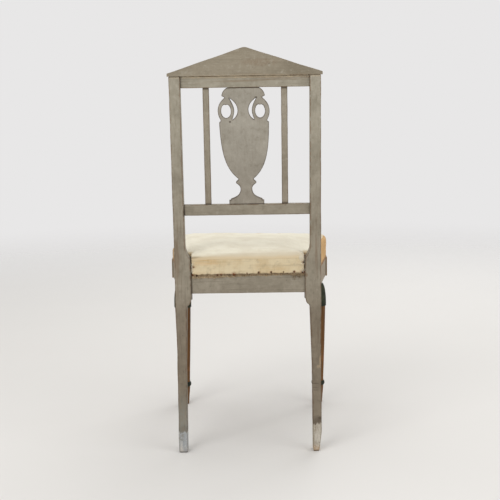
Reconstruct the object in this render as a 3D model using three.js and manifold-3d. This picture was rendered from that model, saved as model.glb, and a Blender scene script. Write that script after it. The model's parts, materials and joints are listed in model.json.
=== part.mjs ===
// A painted side chair with a pedimented back, an urn splat, turned front legs and a stuffed seat.
// Millimetres, +Z up. The sitter faces -Y, and the sitter's left is +X. The origin is on the floor,
// under the middle of the whole chair.
import * as THREE from 'three';
import { mergeVertices } from 'three/addons/utils/BufferGeometryUtils.js';
import Module from 'manifold-3d';

const wasm = await Module();
wasm.setup();

// The whole chair
const backWidth = 344;
const frontWidth = 420.4;
const seatDepth = 405;
const frameTopHeight = 438;

// Fits and cuts
const fitGap = 0.3;
const cutOverrun = 5;
const weldDistance = 0.001;

// The lean of the back, which starts in a curve above the seat
const leanDegrees = 4;
const leanStartRise = 17;
const leanCurveReach = 40;

// Rear legs: one sawn plank each, from the foot to the top of the post
const postWidth = 25.4;
const postDepthAtSeat = 34;
const postDepthAtTop = 24;
const postSeatWidth = 37.5;
const footWidth = 21;
const footDepth = 27;
const footInset = 1.5;
const footSplay = 22;
const splayStartDrop = 88;
const splayPower = 1.6;
const footTaperTopHeight = 200;
const outerTaperLowHeight = 250;
const upperCoveRise = 25;
const upperCoveLength = 33;
const lowerCoveDrop = 63;
const lowerCoveLength = 23;
const lowerCoveReach = 10.5;
const footWearWidth = 6;
const footWearHeight = 48;

// Rails and boards of the back
const pedimentSize = 64;
const pedimentEndHeight = 6.6;
const pedimentOverhang = 3.6;
const pedimentLip = 2;
const peakRounding = 7;
const crestRailSize = 26.3;
const crossRailRise = 152.9;
const backOpening = 268.1;
const crossRailSize = 24.8;
const backRailThickness = 16;
const backRailRecess = 5;
const backTenonLength = 17;
const backTenonThickness = 7;
const backTenonShoulder = 4;

const slatWidth = 14.2;
const slatThickness = 12;
const slatOffset = 89.1;
const slatTenonLength = 9;
const slatTenonThickness = 6;
const slatTenonShoulder = 2.4;

// The urn splat
const urnThickness = 12;
const urnHandleWidth = 117.6;
const urnPiercingShift = 1.5;
const urnTopShift = 4.6;
const urnFootShift = -0.4;
const urnTenonWidth = 30;

// One side of the urn from its foot up: each line holds a point, or a curve's two controls and its
// end, as shares of half the width over the handles and of the height.
const urnFootShare = 0.689;
const urnOutlineShares = [
  [[0.689, 0.035]],
  [[0.62, 0.037]],
  [[0.62, 0.046]],
  [[0.333, 0.067], [0.23, 0.087], [0.23, 0.135]],
  [[0.23, 0.157], [0.303, 0.171], [0.398, 0.184]],
  [[0.398, 0.194]],
  [[0.328, 0.209], [0.293, 0.214], [0.293, 0.221]],
  [[0.808, 0.309], [0.94, 0.456], [0.966, 0.7]],
  [[0.966, 0.707]],
  [[0.907, 0.717]],
  [[0.907, 0.729]],
  [[1.03, 0.772], [1.08, 0.85], [0.775, 0.906]],
  [[0.725, 0.918]],
  [[0.838, 0.931]],
  [[0.82, 0.962], [0.745, 0.985], [0.61, 1]],
];

// The hole of a ring handle, an upright oval whose top dips to a small cusp
const urnRingShares = [
  [[0.661, 0.7435]],
  [[0.766, 0.7435], [0.851, 0.769], [0.851, 0.801]],
  [[0.851, 0.835], [0.76, 0.868], [0.661, 0.853]],
  [[0.562, 0.868], [0.471, 0.835], [0.471, 0.801]],
  [[0.471, 0.769], [0.556, 0.7435], [0.661, 0.7435]],
];

// The crescent between a ring handle and the neck: its tip, its edge on the neck and its edge on
// the ring
const urnCrescentShares = [
  [[0.53, 0.914]],
  [[0.092, 0.856], [0.151, 0.763], [0.43, 0.727]],
  [[0.31, 0.798], [0.291, 0.826], [0.53, 0.914]],
];

// Seat rails
const seatRailThickness = 24;
const rearRailSize = 57;
const rearRailRecess = 4;
const lowRailSize = 77;
const sideRailRearInset = 14;
const sideRailFrontInset = 4.2;
const frontRailRecess = 6;
const seatTenonThickness = 9;
const seatTenonHeight = 32;
const seatTenonEdge = 7;
const rearTenonLength = 27;
const sideTenonRearLength = 22;
const sideTenonFrontLength = 24;
const frontTenonLength = 20;

// Front legs: a square head, then turned from the throat down
const headWidth = 50;
const headOverhang = 1;
const headFaceHeight = 51.4;
const headSideRebate = 4.5;
const headFootRadius = 20;
const headFootDepth = 2.5;
const throatRadius = 10;
const throatDrop = 22;
const bellRadius = 23.4;
const bellLength = 64;
const bellLipHeight = 8;
const bellFullnessPower = 0.8;
const shaftTopRadius = 21.2;
const shaftBottomRadius = 14.8;
const shaftCollar = 7;
const ringRadius = 18.2;
const ringHeight = 57;
const ringThickness = 12;
const pegFootTopRadius = 15;
const pegFootRadius = 11;
const legSides = 28;

// Pegs and dowels
const pegRadius = 3;
const pegInset = 9;
const pegBlindDepth = 4;
const pegRecess = 0.4;
const pegSides = 10;
const dowelRadius = 4;
const dowelLength = 28;
const innerDowelOffset = 50;
const outerDowelInset = 26.6;

// Corner blocks and their screws
const cornerBlockReach = 46;
const cornerBlockHeight = 38;
const cornerBlockDrop = 52;
const cornerTruncation = 7;
const screwSeatDepth = 13;
const screwShankRadius = 2;
const screwHeadRadius = 4;
const screwHeadHeight = 2.4;
const screwBite = 16;
const screwTipLength = 5;
const screwSlotWidth = 1;
const screwSlotDepth = 1.1;
const counterboreClearance = 1;
const screwSides = 12;

// Webbing and base cloth
const webWidth = 50;
const webThickness = 1.2;
const webPostGap = 25.5;
const webPitchDeep = 92;
const webRamp = 10.5;
const webEndInset = 7;
const baseClothThickness = 1;
const baseClothInset = 8;

// The stuffed seat and its covers
const shoulderRise = 39;
const crownLift = 10;
const shoulderRadius = 11;
const shoulderTurnDegrees = 72;
const crownPower = 2.2;
const seatBulge = 0.8;
const coverThickness = 1.5;
const sideHemDrop = 26.2;
const rearHemDrop = 14;
const hemTurn = 6;
const seatCornerReach = 16;
const postEase = 1.6;

// Places worked out from the sizes
const leanStartHeight = frameTopHeight + leanStartRise;
const splayStartHeight = frameTopHeight - splayStartDrop;
const upperCoveBottomHeight = frameTopHeight + upperCoveRise;
const upperCoveTopHeight = upperCoveBottomHeight + upperCoveLength;
const lowerCoveTopHeight = frameTopHeight - lowerCoveDrop;
const lowerCoveBottomHeight = lowerCoveTopHeight - lowerCoveLength;
const rearRailBottomHeight = frameTopHeight - rearRailSize;
const lowRailBottomHeight = frameTopHeight - lowRailSize;
const headBottomHeight = lowRailBottomHeight - headOverhang;
const throatHeight = headBottomHeight - throatDrop;
const bellBottomHeight = throatHeight - bellLength;
const shaftBottomHeight = ringHeight + ringThickness / 2 + shaftCollar;
const cornerBlockBottomHeight = frameTopHeight - cornerBlockDrop;
const shoulderHeight = frameTopHeight + shoulderRise;
const crownHeight = shoulderHeight + crownLift;
const sideHemHeight = frameTopHeight - sideHemDrop;
const rearHemHeight = frameTopHeight - rearHemDrop;
const leanAngle = THREE.MathUtils.degToRad(leanDegrees);
const pedimentThickness = postDepthAtTop + 2 * pedimentLip;
const alongBack = (height) => (height - leanStartHeight) / Math.cos(leanAngle);
const crossTopAlong = alongBack(frameTopHeight + crossRailRise);
const crossBottomAlong = crossTopAlong - crossRailSize;
const crestBottomAlong = crossTopAlong + backOpening;
const crestTopAlong = crestBottomAlong + crestRailSize;
const peakAlong = crestTopAlong + pedimentSize;
const postTopHeight = leanStartHeight + crestTopAlong * Math.cos(leanAngle);
const peakHeight = leanStartHeight + peakAlong * Math.cos(leanAngle);
const leanReach = peakAlong * Math.sin(leanAngle) + pedimentLip * Math.cos(leanAngle);
const overallDepth = seatDepth + Math.max(leanReach, footSplay);
const frontY = -overallDepth / 2;
const rearFaceY = frontY + seatDepth;
const backHalf = backWidth / 2;
const postInnerX = backHalf - postWidth;
const seatPostInnerX = backHalf - postSeatWidth;
const postFrontY = rearFaceY - postDepthAtSeat;
const headOuterX = frontWidth / 2;
const headInnerX = headOuterX - headWidth;
const headRearY = frontY + headWidth;
const seatCornerX = headOuterX - headSideRebate;
const legX = headOuterX - headWidth / 2;
const legY = frontY + headWidth / 2;
const frontRailFaceY = frontY + frontRailRecess;
const frontRailInnerY = frontRailFaceY + seatRailThickness;
const rearRailFaceY = rearFaceY - rearRailRecess;
const rearRailInnerY = rearRailFaceY - seatRailThickness;
const sideRailRearReach = backHalf - sideRailRearInset;
const sideRailFrontReach = headOuterX - sideRailFrontInset;
const sideSlope = (sideRailFrontReach - sideRailRearReach) / (postFrontY - headRearY);
const sideAngle = Math.atan(sideSlope);
const sideRailWidthX = seatRailThickness / Math.cos(sideAngle);
const sideOuterX = (y) => sideRailRearReach + (postFrontY - y) * sideSlope;
const sideInnerX = (y) => sideOuterX(y) - sideRailWidthX;
const backBoardY = -backRailRecess - backRailThickness / 2;

const backFrame = new THREE.Matrix4()
  .makeTranslation(0, rearFaceY, leanStartHeight)
  .multiply(new THREE.Matrix4().makeRotationX(-leanAngle));

// Solids and meshes
function solid(geometry) {
  const plain = geometry.clone();
  plain.deleteAttribute('normal');
  plain.deleteAttribute('uv');
  const merged = mergeVertices(plain, weldDistance);
  return new wasm.Manifold(new wasm.Mesh({
    numProp: 3,
    vertProperties: new Float32Array(merged.attributes.position.array),
    triVerts: new Uint32Array(merged.index.array),
  }));
}

function geometryOf(shape) {
  const mesh = shape.getMesh();
  const geometry = new THREE.BufferGeometry();
  geometry.setAttribute('position', new THREE.BufferAttribute(mesh.vertProperties, 3));
  geometry.setIndex(new THREE.BufferAttribute(mesh.triVerts, 1));
  geometry.computeVertexNormals();
  return geometry;
}

function boxGeometry(low, high, grow = 0) {
  const size = high.map((value, axis) => value - low[axis] + 2 * grow);
  const middle = high.map((value, axis) => (value + low[axis]) / 2);
  return new THREE.BoxGeometry(...size).translate(...middle);
}

const box = (low, high, grow = 0) => solid(boxGeometry(low, high, grow));
const backBox = (low, high, grow = 0) => solid(boxGeometry(low, high, grow).applyMatrix4(backFrame));

// A rod from one point to another.
function rodGeometry(from, to, radius, sides) {
  const start = new THREE.Vector3(...from);
  const run = new THREE.Vector3(...to).sub(start);
  const length = run.length();
  const turn = new THREE.Quaternion().setFromUnitVectors(new THREE.Vector3(0, 1, 0), run.normalize());
  return new THREE.CylinderGeometry(radius, radius, length, sides)
    .translate(0, length / 2, 0)
    .applyQuaternion(turn)
    .translate(...from);
}

// The hole for a rod, a fit gap wider all round and longer at its blind end.
function rodHole(from, to, radius, sides) {
  const start = new THREE.Vector3(...from);
  const end = new THREE.Vector3(...to);
  const run = end.clone().sub(start).normalize();
  start.addScaledVector(run, -cutOverrun);
  end.addScaledVector(run, fitGap);
  const wide = (radius + fitGap) / Math.cos(Math.PI / sides);
  return rodGeometry(start.toArray(), end.toArray(), wide, sides);
}

// An outline drawn in X and Z, extruded forwards from the plane y = rear.
function board(shape, rear, thickness, curveSegments) {
  return new THREE.ExtrudeGeometry(shape, { depth: thickness, bevelEnabled: false, curveSegments })
    .rotateX(Math.PI / 2)
    .translate(0, rear, 0);
}

function turned(profile, sides) {
  const points = profile.map(([radius, height]) => new THREE.Vector2(radius, height));
  return new THREE.LatheGeometry(points, sides).rotateX(Math.PI / 2);
}

function mirrored(geometry) {
  const copy = geometry.clone().scale(-1, 1, 1);
  const order = copy.index.array;
  for (let first = 0; first < order.length; first += 3) {
    [order[first], order[first + 1]] = [order[first + 1], order[first]];
  }
  copy.computeVertexNormals();
  return copy;
}

// Finishes
const finish = (color, roughness, metalness = 0) => () => (
  new THREE.MeshStandardMaterial({ color, roughness, metalness })
);
const greyPaint = finish(0x8f8778, 0.62);
const brownWood = finish(0x69492c, 0.55);
const hiddenWood = finish(0xa98558, 0.75);
const pegWood = finish(0x8a8172, 0.65);
const steel = finish(0x6e6a64, 0.5, 0.8);
const webCloth = finish(0xb49a6c, 0.95);
const baseCloth = finish(0xa88d60, 0.95);
const hair = finish(0x4a3b2c, 1);
const scrim = finish(0xcdb588, 0.95);
const calico = finish(0xe2dcc4, 0.92);

const chair = new THREE.Group();
const back = new THREE.Group();
back.applyMatrix4(backFrame);
chair.add(back);

function add(group, name, geometry, material) {
  const mesh = new THREE.Mesh(geometry, material());
  mesh.name = name;
  group.add(mesh);
  return mesh;
}

function addPair(group, name, geometry, material) {
  add(group, `${name}_left`, geometry, material);
  add(group, `${name}_right`, mirrored(geometry), material);
}

// Rear legs

// How far back the rear face of a leg stands at a height: splayed in a curve below the seat,
// upright beside it, bent through a parabola above it and then straight.
function rearFaceAt(height) {
  const slope = Math.tan(leanAngle);
  const bend = height - leanStartHeight + leanCurveReach;
  if (height >= leanStartHeight + leanCurveReach) return rearFaceY + (height - leanStartHeight) * slope;
  if (bend > 0) return rearFaceY + slope * bend * bend / (4 * leanCurveReach);
  if (height >= splayStartHeight) return rearFaceY;
  return rearFaceY + footSplay * ((splayStartHeight - height) / splayStartHeight) ** splayPower;
}

function postDepthAt(height) {
  const taperStart = leanStartHeight + leanCurveReach;
  const upShare = (height - taperStart) / (postTopHeight - taperStart);
  const downShare = (splayStartHeight - height) / splayStartHeight;
  if (upShare > 0) return THREE.MathUtils.lerp(postDepthAtSeat, postDepthAtTop, upShare);
  return THREE.MathUtils.lerp(postDepthAtSeat, footDepth, Math.max(downShare, 0));
}

function rearLegSide() {
  const splaySteps = 8;
  const bendSteps = 4;
  const heights = [];
  for (let step = 0; step <= splaySteps; step++) heights.push(splayStartHeight * step / splaySteps);
  for (let step = 0; step <= bendSteps; step++) {
    heights.push(leanStartHeight + leanCurveReach * (2 * step / bendSteps - 1));
  }
  heights.push(peakHeight);
  const rear = heights.map((height) => new THREE.Vector2(rearFaceAt(height), height));
  const front = heights.map((height) => new THREE.Vector2(rearFaceAt(height) - postDepthAt(height), height));
  const shape = new THREE.Shape([...rear, ...front.reverse()]);
  const across = new THREE.Matrix4().makeBasis(
    new THREE.Vector3(0, 1, 0), new THREE.Vector3(0, 0, 1), new THREE.Vector3(1, 0, 0),
  );
  return new THREE.ExtrudeGeometry(shape, { depth: backWidth, bevelEnabled: false }).applyMatrix4(across);
}

function rearLegFace() {
  const footOuterX = backHalf - footInset;
  const footInnerX = footOuterX - footWidth;
  const lowerCoveX = seatPostInnerX + lowerCoveReach;
  const coveControlHeight = (upperCoveTopHeight + upperCoveBottomHeight) / 2;
  const shape = new THREE.Shape();
  shape.moveTo(footInnerX, 0);
  shape.lineTo(footOuterX, 0);
  shape.lineTo(footOuterX, outerTaperLowHeight);
  shape.lineTo(backHalf, lowerCoveBottomHeight);
  shape.lineTo(backHalf, peakHeight);
  shape.lineTo(postInnerX, peakHeight);
  shape.lineTo(postInnerX, upperCoveTopHeight);
  shape.quadraticCurveTo(postInnerX, coveControlHeight, seatPostInnerX, upperCoveBottomHeight);
  shape.lineTo(seatPostInnerX, lowerCoveTopHeight);
  shape.quadraticCurveTo(seatPostInnerX, lowerCoveBottomHeight, lowerCoveX, lowerCoveBottomHeight);
  shape.lineTo(footInnerX, footTaperTopHeight);
  const coveSegments = 8;
  return board(shape, overallDepth, 2 * overallDepth, coveSegments);
}

// Tenons as low and high corners, shared by the piece that has them and the one that takes them

function backTenon(lowAlong, highAlong) {
  return [
    [postInnerX - cutOverrun, backBoardY - backTenonThickness / 2, lowAlong + backTenonShoulder],
    [postInnerX + backTenonLength, backBoardY + backTenonThickness / 2, highAlong - backTenonShoulder],
  ];
}

const crestTenon = backTenon(crestBottomAlong, crestTopAlong);
const crossTenon = backTenon(crossBottomAlong, crossTopAlong);

const rearTenonY = rearRailFaceY - seatRailThickness / 2;
const rearTenonTopHeight = frameTopHeight - seatTenonEdge;
const rearTenonBottomHeight = rearTenonTopHeight - seatTenonHeight / 2;
const rearTenon = [
  [seatPostInnerX - cutOverrun, rearTenonY - seatTenonThickness / 2, rearTenonBottomHeight],
  [seatPostInnerX + rearTenonLength, rearTenonY + seatTenonThickness / 2, rearTenonTopHeight],
];

const lowTenonBottomHeight = lowRailBottomHeight + seatTenonEdge;
const lowTenonTopHeight = lowTenonBottomHeight + seatTenonHeight;
const lowTenonHeight = lowTenonBottomHeight + seatTenonHeight / 2;
const frontTenonY = frontRailFaceY + seatRailThickness / 2;
const frontTenon = [
  [headInnerX - cutOverrun, frontTenonY - seatTenonThickness / 2, lowTenonBottomHeight],
  [headInnerX + frontTenonLength, frontTenonY + seatTenonThickness / 2, lowTenonTopHeight],
];

// The side rail's own frame: its middle at the post, with +Y running forwards along it
const sideRailMiddleX = sideRailRearReach - sideRailWidthX / 2;
const sideRailLength = (postFrontY - headRearY) / Math.cos(sideAngle);
const sideFrame = new THREE.Matrix4()
  .makeTranslation(sideRailMiddleX, postFrontY, 0)
  .multiply(new THREE.Matrix4().makeRotationZ(Math.PI + sideAngle));

function sideTenonBar(grow) {
  const low = [-seatTenonThickness / 2, -sideTenonRearLength, lowTenonBottomHeight];
  const high = [seatTenonThickness / 2, sideRailLength + sideTenonFrontLength, lowTenonTopHeight];
  return solid(boxGeometry(low, high, grow).applyMatrix4(sideFrame));
}

// Pegs, each from its visible end to its blind end

const alongMiddle = (tenon) => (tenon[0][2] + tenon[1][2]) / 2;
const backPegX = postInnerX + pegInset;

function backPeg(tenon) {
  const along = alongMiddle(tenon);
  const height = leanStartHeight + along * Math.cos(leanAngle);
  const faceY = -postDepthAt(height) * Math.cos(leanAngle) + pegRecess;
  return [[backPegX, faceY, along], [backPegX, -pegBlindDepth, along]];
}

const crestPeg = backPeg(crestTenon);
const crossPeg = backPeg(crossTenon);
const rearPegX = seatPostInnerX + pegInset;
const rearPegHeight = alongMiddle(rearTenon);
const rearPeg = [
  [rearPegX, postFrontY + pegRecess, rearPegHeight],
  [rearPegX, rearFaceY - pegBlindDepth, rearPegHeight],
];
const postPegY = postFrontY + pegInset;
const postPeg = [
  [backHalf - pegRecess, postPegY, lowTenonHeight],
  [seatPostInnerX + pegBlindDepth, postPegY, lowTenonHeight],
];
const headSidePegY = headRearY - pegInset;
const headSidePeg = [
  [headOuterX - pegRecess, headSidePegY, lowTenonHeight],
  [sideRailMiddleX + (postFrontY - headRearY) * sideSlope - seatTenonThickness, headSidePegY, lowTenonHeight],
];
const headFrontPegX = headInnerX + pegInset;
const headFrontPeg = [
  [headFrontPegX, frontY + pegRecess, lowTenonHeight],
  [headFrontPegX, frontTenonY + seatTenonThickness, lowTenonHeight],
];

const pegGeometry = (peg) => rodGeometry(peg[0], peg[1], pegRadius, pegSides);
const pegHole = (peg) => solid(rodHole(peg[0], peg[1], pegRadius, pegSides));
const backPegHole = (peg) => solid(rodHole(peg[0], peg[1], pegRadius, pegSides).applyMatrix4(backFrame));

// Dowels between the pediment and the crest rail, two on each side

function dowel(x) {
  const middle = crestTopAlong + fitGap / 2;
  return [[x, backBoardY, middle - dowelLength / 2], [x, backBoardY, middle + dowelLength / 2]];
}

const innerDowel = dowel(innerDowelOffset);
const outerDowelOffset = postInnerX - outerDowelInset;
const outerDowel = dowel(outerDowelOffset);

function dowelHole([from, to]) {
  const wide = (dowelRadius + fitGap) / Math.cos(Math.PI / pegSides);
  const low = [from[0], from[1], from[2] - fitGap];
  const high = [to[0], to[1], to[2] + fitGap];
  return rodGeometry(low, high, wide, pegSides);
}

function drillDowels(body) {
  let drilled = body;
  for (const x of [innerDowelOffset, outerDowelOffset]) {
    drilled = drilled.subtract(solid(dowelHole(dowel(x)))).subtract(solid(dowelHole(dowel(-x))));
  }
  return drilled;
}

function rearLeg(worn) {
  let leg = solid(rearLegSide()).intersect(solid(rearLegFace()));
  const aboveTop = [[0, -2 * overallDepth, crestTopAlong], [backWidth, 2 * overallDepth, peakHeight]];
  leg = leg
    .subtract(backBox(...aboveTop))
    .subtract(backBox(...crestTenon, fitGap))
    .subtract(backBox(...crossTenon, fitGap))
    .subtract(box(...rearTenon, fitGap))
    .subtract(sideTenonBar(fitGap))
    .subtract(backPegHole(crestPeg))
    .subtract(backPegHole(crossPeg))
    .subtract(pegHole(rearPeg))
    .subtract(pegHole(postPeg));
  if (worn) leg = leg.subtract(solid(footWear()));
  return geometryOf(leg);
}

// The scraped outer corner of one rear foot
function footWear() {
  const footOuterX = backHalf - footInset;
  const shape = new THREE.Shape();
  shape.moveTo(footOuterX, footWearHeight);
  shape.lineTo(footOuterX - footWearWidth, -cutOverrun);
  shape.lineTo(footOuterX + footWearWidth, -cutOverrun);
  shape.lineTo(footOuterX + footWearWidth, footWearHeight);
  return board(shape, overallDepth, 2 * overallDepth, 1);
}

add(chair, 'rear_leg_left', rearLeg(false), greyPaint);
add(chair, 'rear_leg_right', mirrored(rearLeg(true)), greyPaint);

// Splat and slats, whose tenons the rails take

const slatHalf = slatWidth / 2;
const slatTenon = (x, low, high) => [
  [x - slatHalf + slatTenonShoulder, backBoardY - slatTenonThickness / 2, low],
  [x + slatHalf - slatTenonShoulder, backBoardY + slatTenonThickness / 2, high],
];
const urnTenon = (x, low, high) => [
  [x - urnTenonWidth / 2, backBoardY - slatTenonThickness / 2, low],
  [x + urnTenonWidth / 2, backBoardY + slatTenonThickness / 2, high],
];
const upperTenonEnds = [crestBottomAlong - cutOverrun, crestBottomAlong + slatTenonLength];
const lowerTenonEnds = [crossTopAlong - slatTenonLength, crossTopAlong + cutOverrun];
const slatLowAlong = crossTopAlong + fitGap;
const slatHighAlong = crestBottomAlong - fitGap;

function slat() {
  const boardY = [backBoardY - slatThickness / 2, backBoardY + slatThickness / 2];
  return geometryOf(
    box([slatOffset - slatHalf, boardY[0], slatLowAlong], [slatOffset + slatHalf, boardY[1], slatHighAlong])
      .add(box(...slatTenon(slatOffset, ...upperTenonEnds)))
      .add(box(...slatTenon(slatOffset, ...lowerTenonEnds))),
  );
}

addPair(back, 'slat', slat(), greyPaint);

// The urn is drawn on its own axis, which leans a little to one side as it stands in the chair.
function urnPoint(side, across, up) {
  const axisX = THREE.MathUtils.lerp(urnFootShift, urnTopShift, up);
  return [
    axisX + side * across * urnHandleWidth / 2,
    THREE.MathUtils.lerp(slatLowAlong, slatHighAlong, up),
  ];
}

function urnCurve(path, side, step) {
  const flat = step.flatMap(([across, up]) => urnPoint(side, across, up));
  if (step.length === 1) path.lineTo(...flat);
  else path.bezierCurveTo(...flat);
}

// All the piercings stand a little to one side.
function urnHole(side, shares) {
  const shift = side * urnPiercingShift / (urnHandleWidth / 2);
  const [[start], ...steps] = shares.map((step) => step.map(([across, up]) => [across + shift, up]));
  const path = new THREE.Path();
  path.moveTo(...urnPoint(side, ...start));
  for (const step of steps) urnCurve(path, side, step);
  return path;
}

// The left half runs the same steps backwards: each step ends where the one before it began.
function backwards(steps, first) {
  const ends = [first, ...steps.map((step) => step[step.length - 1])];
  return steps.map((step, index) => [...step.slice(0, -1).reverse(), ends[index]]).reverse();
}

function urnOutline() {
  const first = [urnFootShare, 0];
  const shape = new THREE.Shape();
  shape.moveTo(...urnPoint(1, ...first));
  for (const step of urnOutlineShares) urnCurve(shape, 1, step);
  shape.lineTo(...urnPoint(-1, ...urnOutlineShares.at(-1).at(-1)));
  for (const step of backwards(urnOutlineShares, first)) urnCurve(shape, -1, step);
  for (const side of [1, -1]) {
    shape.holes.push(urnHole(side, urnRingShares), urnHole(side, urnCrescentShares));
  }
  return shape;
}

function urnSplat() {
  const curveSegments = 8;
  const face = board(urnOutline(), backBoardY + urnThickness / 2, urnThickness, curveSegments);
  return geometryOf(
    solid(face)
      .add(box(...urnTenon(urnTopShift, ...upperTenonEnds)))
      .add(box(...urnTenon(urnFootShift, ...lowerTenonEnds))),
  );
}

add(back, 'urn_splat', urnSplat(), greyPaint);

// Crest rail, cross rail and pediment

function backRail(lowAlong, highAlong, tenon, boardTenonEnds, urnShift) {
  const shoulderX = postInnerX - fitGap;
  const [low, high] = tenon;
  const railY = [backBoardY - backRailThickness / 2, backBoardY + backRailThickness / 2];
  const peg = tenon === crestTenon ? crestPeg : crossPeg;
  const hole = rodHole(peg[0], peg[1], pegRadius, pegSides);
  return box([-shoulderX, railY[0], lowAlong], [shoulderX, railY[1], highAlong])
    .add(box([-high[0], low[1], low[2]], high))
    .subtract(box(...slatTenon(slatOffset, ...boardTenonEnds), fitGap))
    .subtract(box(...slatTenon(-slatOffset, ...boardTenonEnds), fitGap))
    .subtract(box(...urnTenon(urnShift, ...boardTenonEnds), fitGap))
    .subtract(solid(hole))
    .subtract(solid(hole.clone().translate(-2 * backPegX, 0, 0)));
}

const crestRail = drillDowels(
  backRail(crestBottomAlong, crestTopAlong, crestTenon, upperTenonEnds, urnTopShift),
);
const crossRail = backRail(crossBottomAlong, crossTopAlong, crossTenon, lowerTenonEnds, urnFootShift);
add(back, 'crest_rail', geometryOf(crestRail), greyPaint);
add(back, 'cross_rail', geometryOf(crossRail), greyPaint);

function pediment() {
  const half = backHalf + pedimentOverhang;
  const base = crestTopAlong + fitGap;
  const slope = (peakAlong - base - pedimentEndHeight) / half;
  const shape = new THREE.Shape();
  shape.moveTo(-half, base);
  shape.lineTo(half, base);
  shape.lineTo(half, base + pedimentEndHeight);
  shape.lineTo(peakRounding, peakAlong - peakRounding * slope);
  shape.quadraticCurveTo(0, peakAlong, -peakRounding, peakAlong - peakRounding * slope);
  shape.lineTo(-half, base + pedimentEndHeight);
  const roundingSegments = 4;
  return geometryOf(drillDowels(solid(board(shape, pedimentLip, pedimentThickness, roundingSegments))));
}

add(back, 'pediment', pediment(), greyPaint);

// Seat rails

// A screw driven from a corner block into a rail: the underside of its head, and the way it points
function screwPlace(x, y, angle) {
  return new THREE.Matrix4()
    .makeTranslation(x, y, cornerBlockBottomHeight + cornerBlockHeight / 2)
    .multiply(new THREE.Matrix4().makeRotationZ(angle))
    .multiply(new THREE.Matrix4().makeRotationX(Math.PI / 2));
}

// Corner block plans on the sitter's left: the front ones are notched round the leg's head,
// the rear ones have their corner cut off.
const frontBlockInnerY = headRearY + fitGap + cornerBlockReach;
const frontBlockInnerX = headInnerX - fitGap - cornerBlockReach;
const rearBlockInnerY = postFrontY - fitGap - cornerBlockReach;
const rearBlockInnerX = seatPostInnerX - fitGap - cornerBlockReach;

function frontBlockPlan() {
  return [
    [frontBlockInnerX, frontRailInnerY + fitGap],
    [headInnerX - fitGap, frontRailInnerY + fitGap],
    [headInnerX - fitGap, headRearY + fitGap],
    [sideInnerX(headRearY + fitGap) - fitGap, headRearY + fitGap],
    [sideInnerX(frontBlockInnerY) - fitGap, frontBlockInnerY],
  ];
}

function rearBlockPlan() {
  return [
    [sideInnerX(rearBlockInnerY) - fitGap, rearBlockInnerY],
    [sideInnerX(postFrontY - cornerTruncation) - fitGap, postFrontY - cornerTruncation],
    [seatPostInnerX - cornerTruncation, rearRailInnerY - fitGap],
    [rearBlockInnerX, rearRailInnerY - fitGap],
  ];
}

const frontScrewX = (frontBlockInnerX + headInnerX) / 2;
const rearScrewX = (rearBlockInnerX + seatPostInnerX - cornerTruncation) / 2;
const frontSideScrewY = (headRearY + frontBlockInnerY) / 2;
const rearSideScrewY = (rearBlockInnerY + postFrontY - cornerTruncation) / 2;
const sideScrewSetback = (screwSeatDepth + fitGap) * Math.cos(sideAngle);
const sideScrewShift = (screwSeatDepth + fitGap) * Math.sin(sideAngle);

function sideScrewPlace(y) {
  return screwPlace(sideInnerX(y) - sideScrewSetback, y - sideScrewShift, Math.PI / 2 + sideAngle);
}

const screwPlaces = {
  front_block_front: screwPlace(frontScrewX, frontRailInnerY + fitGap + screwSeatDepth, 0),
  front_block_side: sideScrewPlace(frontSideScrewY),
  rear_block_rear: screwPlace(rearScrewX, rearRailInnerY - fitGap - screwSeatDepth, Math.PI),
  rear_block_side: sideScrewPlace(rearSideScrewY),
};

// A slotted wood screw with its head's underside at zero, driven along +Z.
const screwLength = screwSeatDepth + fitGap + screwBite;
function screw() {
  const profile = [
    [0, -screwHeadHeight],
    [screwHeadRadius, -screwHeadHeight],
    [screwHeadRadius, 0],
    [screwShankRadius, 0],
    [screwShankRadius, screwLength - screwTipLength],
    [0, screwLength],
  ];
  const slot = box(
    [-screwHeadRadius - cutOverrun, -screwSlotWidth / 2, -screwHeadHeight - cutOverrun],
    [screwHeadRadius + cutOverrun, screwSlotWidth / 2, screwSlotDepth - screwHeadHeight],
  );
  return geometryOf(solid(turned(profile, screwSides)).subtract(slot));
}

function screwHole(place, shankOnly) {
  const wide = screwShankRadius + 2 * fitGap;
  const shank = rodGeometry([0, 0, -fitGap], [0, 0, screwLength + fitGap], wide, screwSides);
  if (shankOnly) return solid(shank.applyMatrix4(place));
  const mouth = screwHeadRadius + counterboreClearance;
  const head = rodGeometry([0, 0, -2 * cornerBlockReach], [0, 0, fitGap], mouth, screwSides);
  return solid(shank.applyMatrix4(place)).add(solid(head.applyMatrix4(place)));
}

function frontSeatRail() {
  const shoulderX = headInnerX - fitGap;
  const [low, high] = frontTenon;
  let rail = box(
    [-shoulderX, frontRailFaceY, lowRailBottomHeight], [shoulderX, frontRailInnerY, frameTopHeight],
  ).add(box([-high[0], low[1], low[2]], high));
  const hole = rodHole(headFrontPeg[0], headFrontPeg[1], pegRadius, pegSides);
  rail = rail.subtract(solid(hole)).subtract(solid(hole.clone().translate(-2 * headFrontPegX, 0, 0)));
  const screwCut = geometryOf(screwHole(screwPlaces.front_block_front, true));
  return geometryOf(rail.subtract(solid(screwCut)).subtract(solid(mirrored(screwCut))));
}

function rearSeatRail() {
  const shoulderX = seatPostInnerX - fitGap;
  const [low, high] = rearTenon;
  let rail = box(
    [-shoulderX, rearRailInnerY, rearRailBottomHeight], [shoulderX, rearRailFaceY, frameTopHeight],
  ).add(box([-high[0], low[1], low[2]], high));
  const hole = rodHole(rearPeg[0], rearPeg[1], pegRadius, pegSides);
  rail = rail.subtract(solid(hole)).subtract(solid(hole.clone().translate(-2 * rearPegX, 0, 0)));
  const screwCut = geometryOf(screwHole(screwPlaces.rear_block_rear, true));
  return geometryOf(rail.subtract(solid(screwCut)).subtract(solid(mirrored(screwCut))));
}

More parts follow.
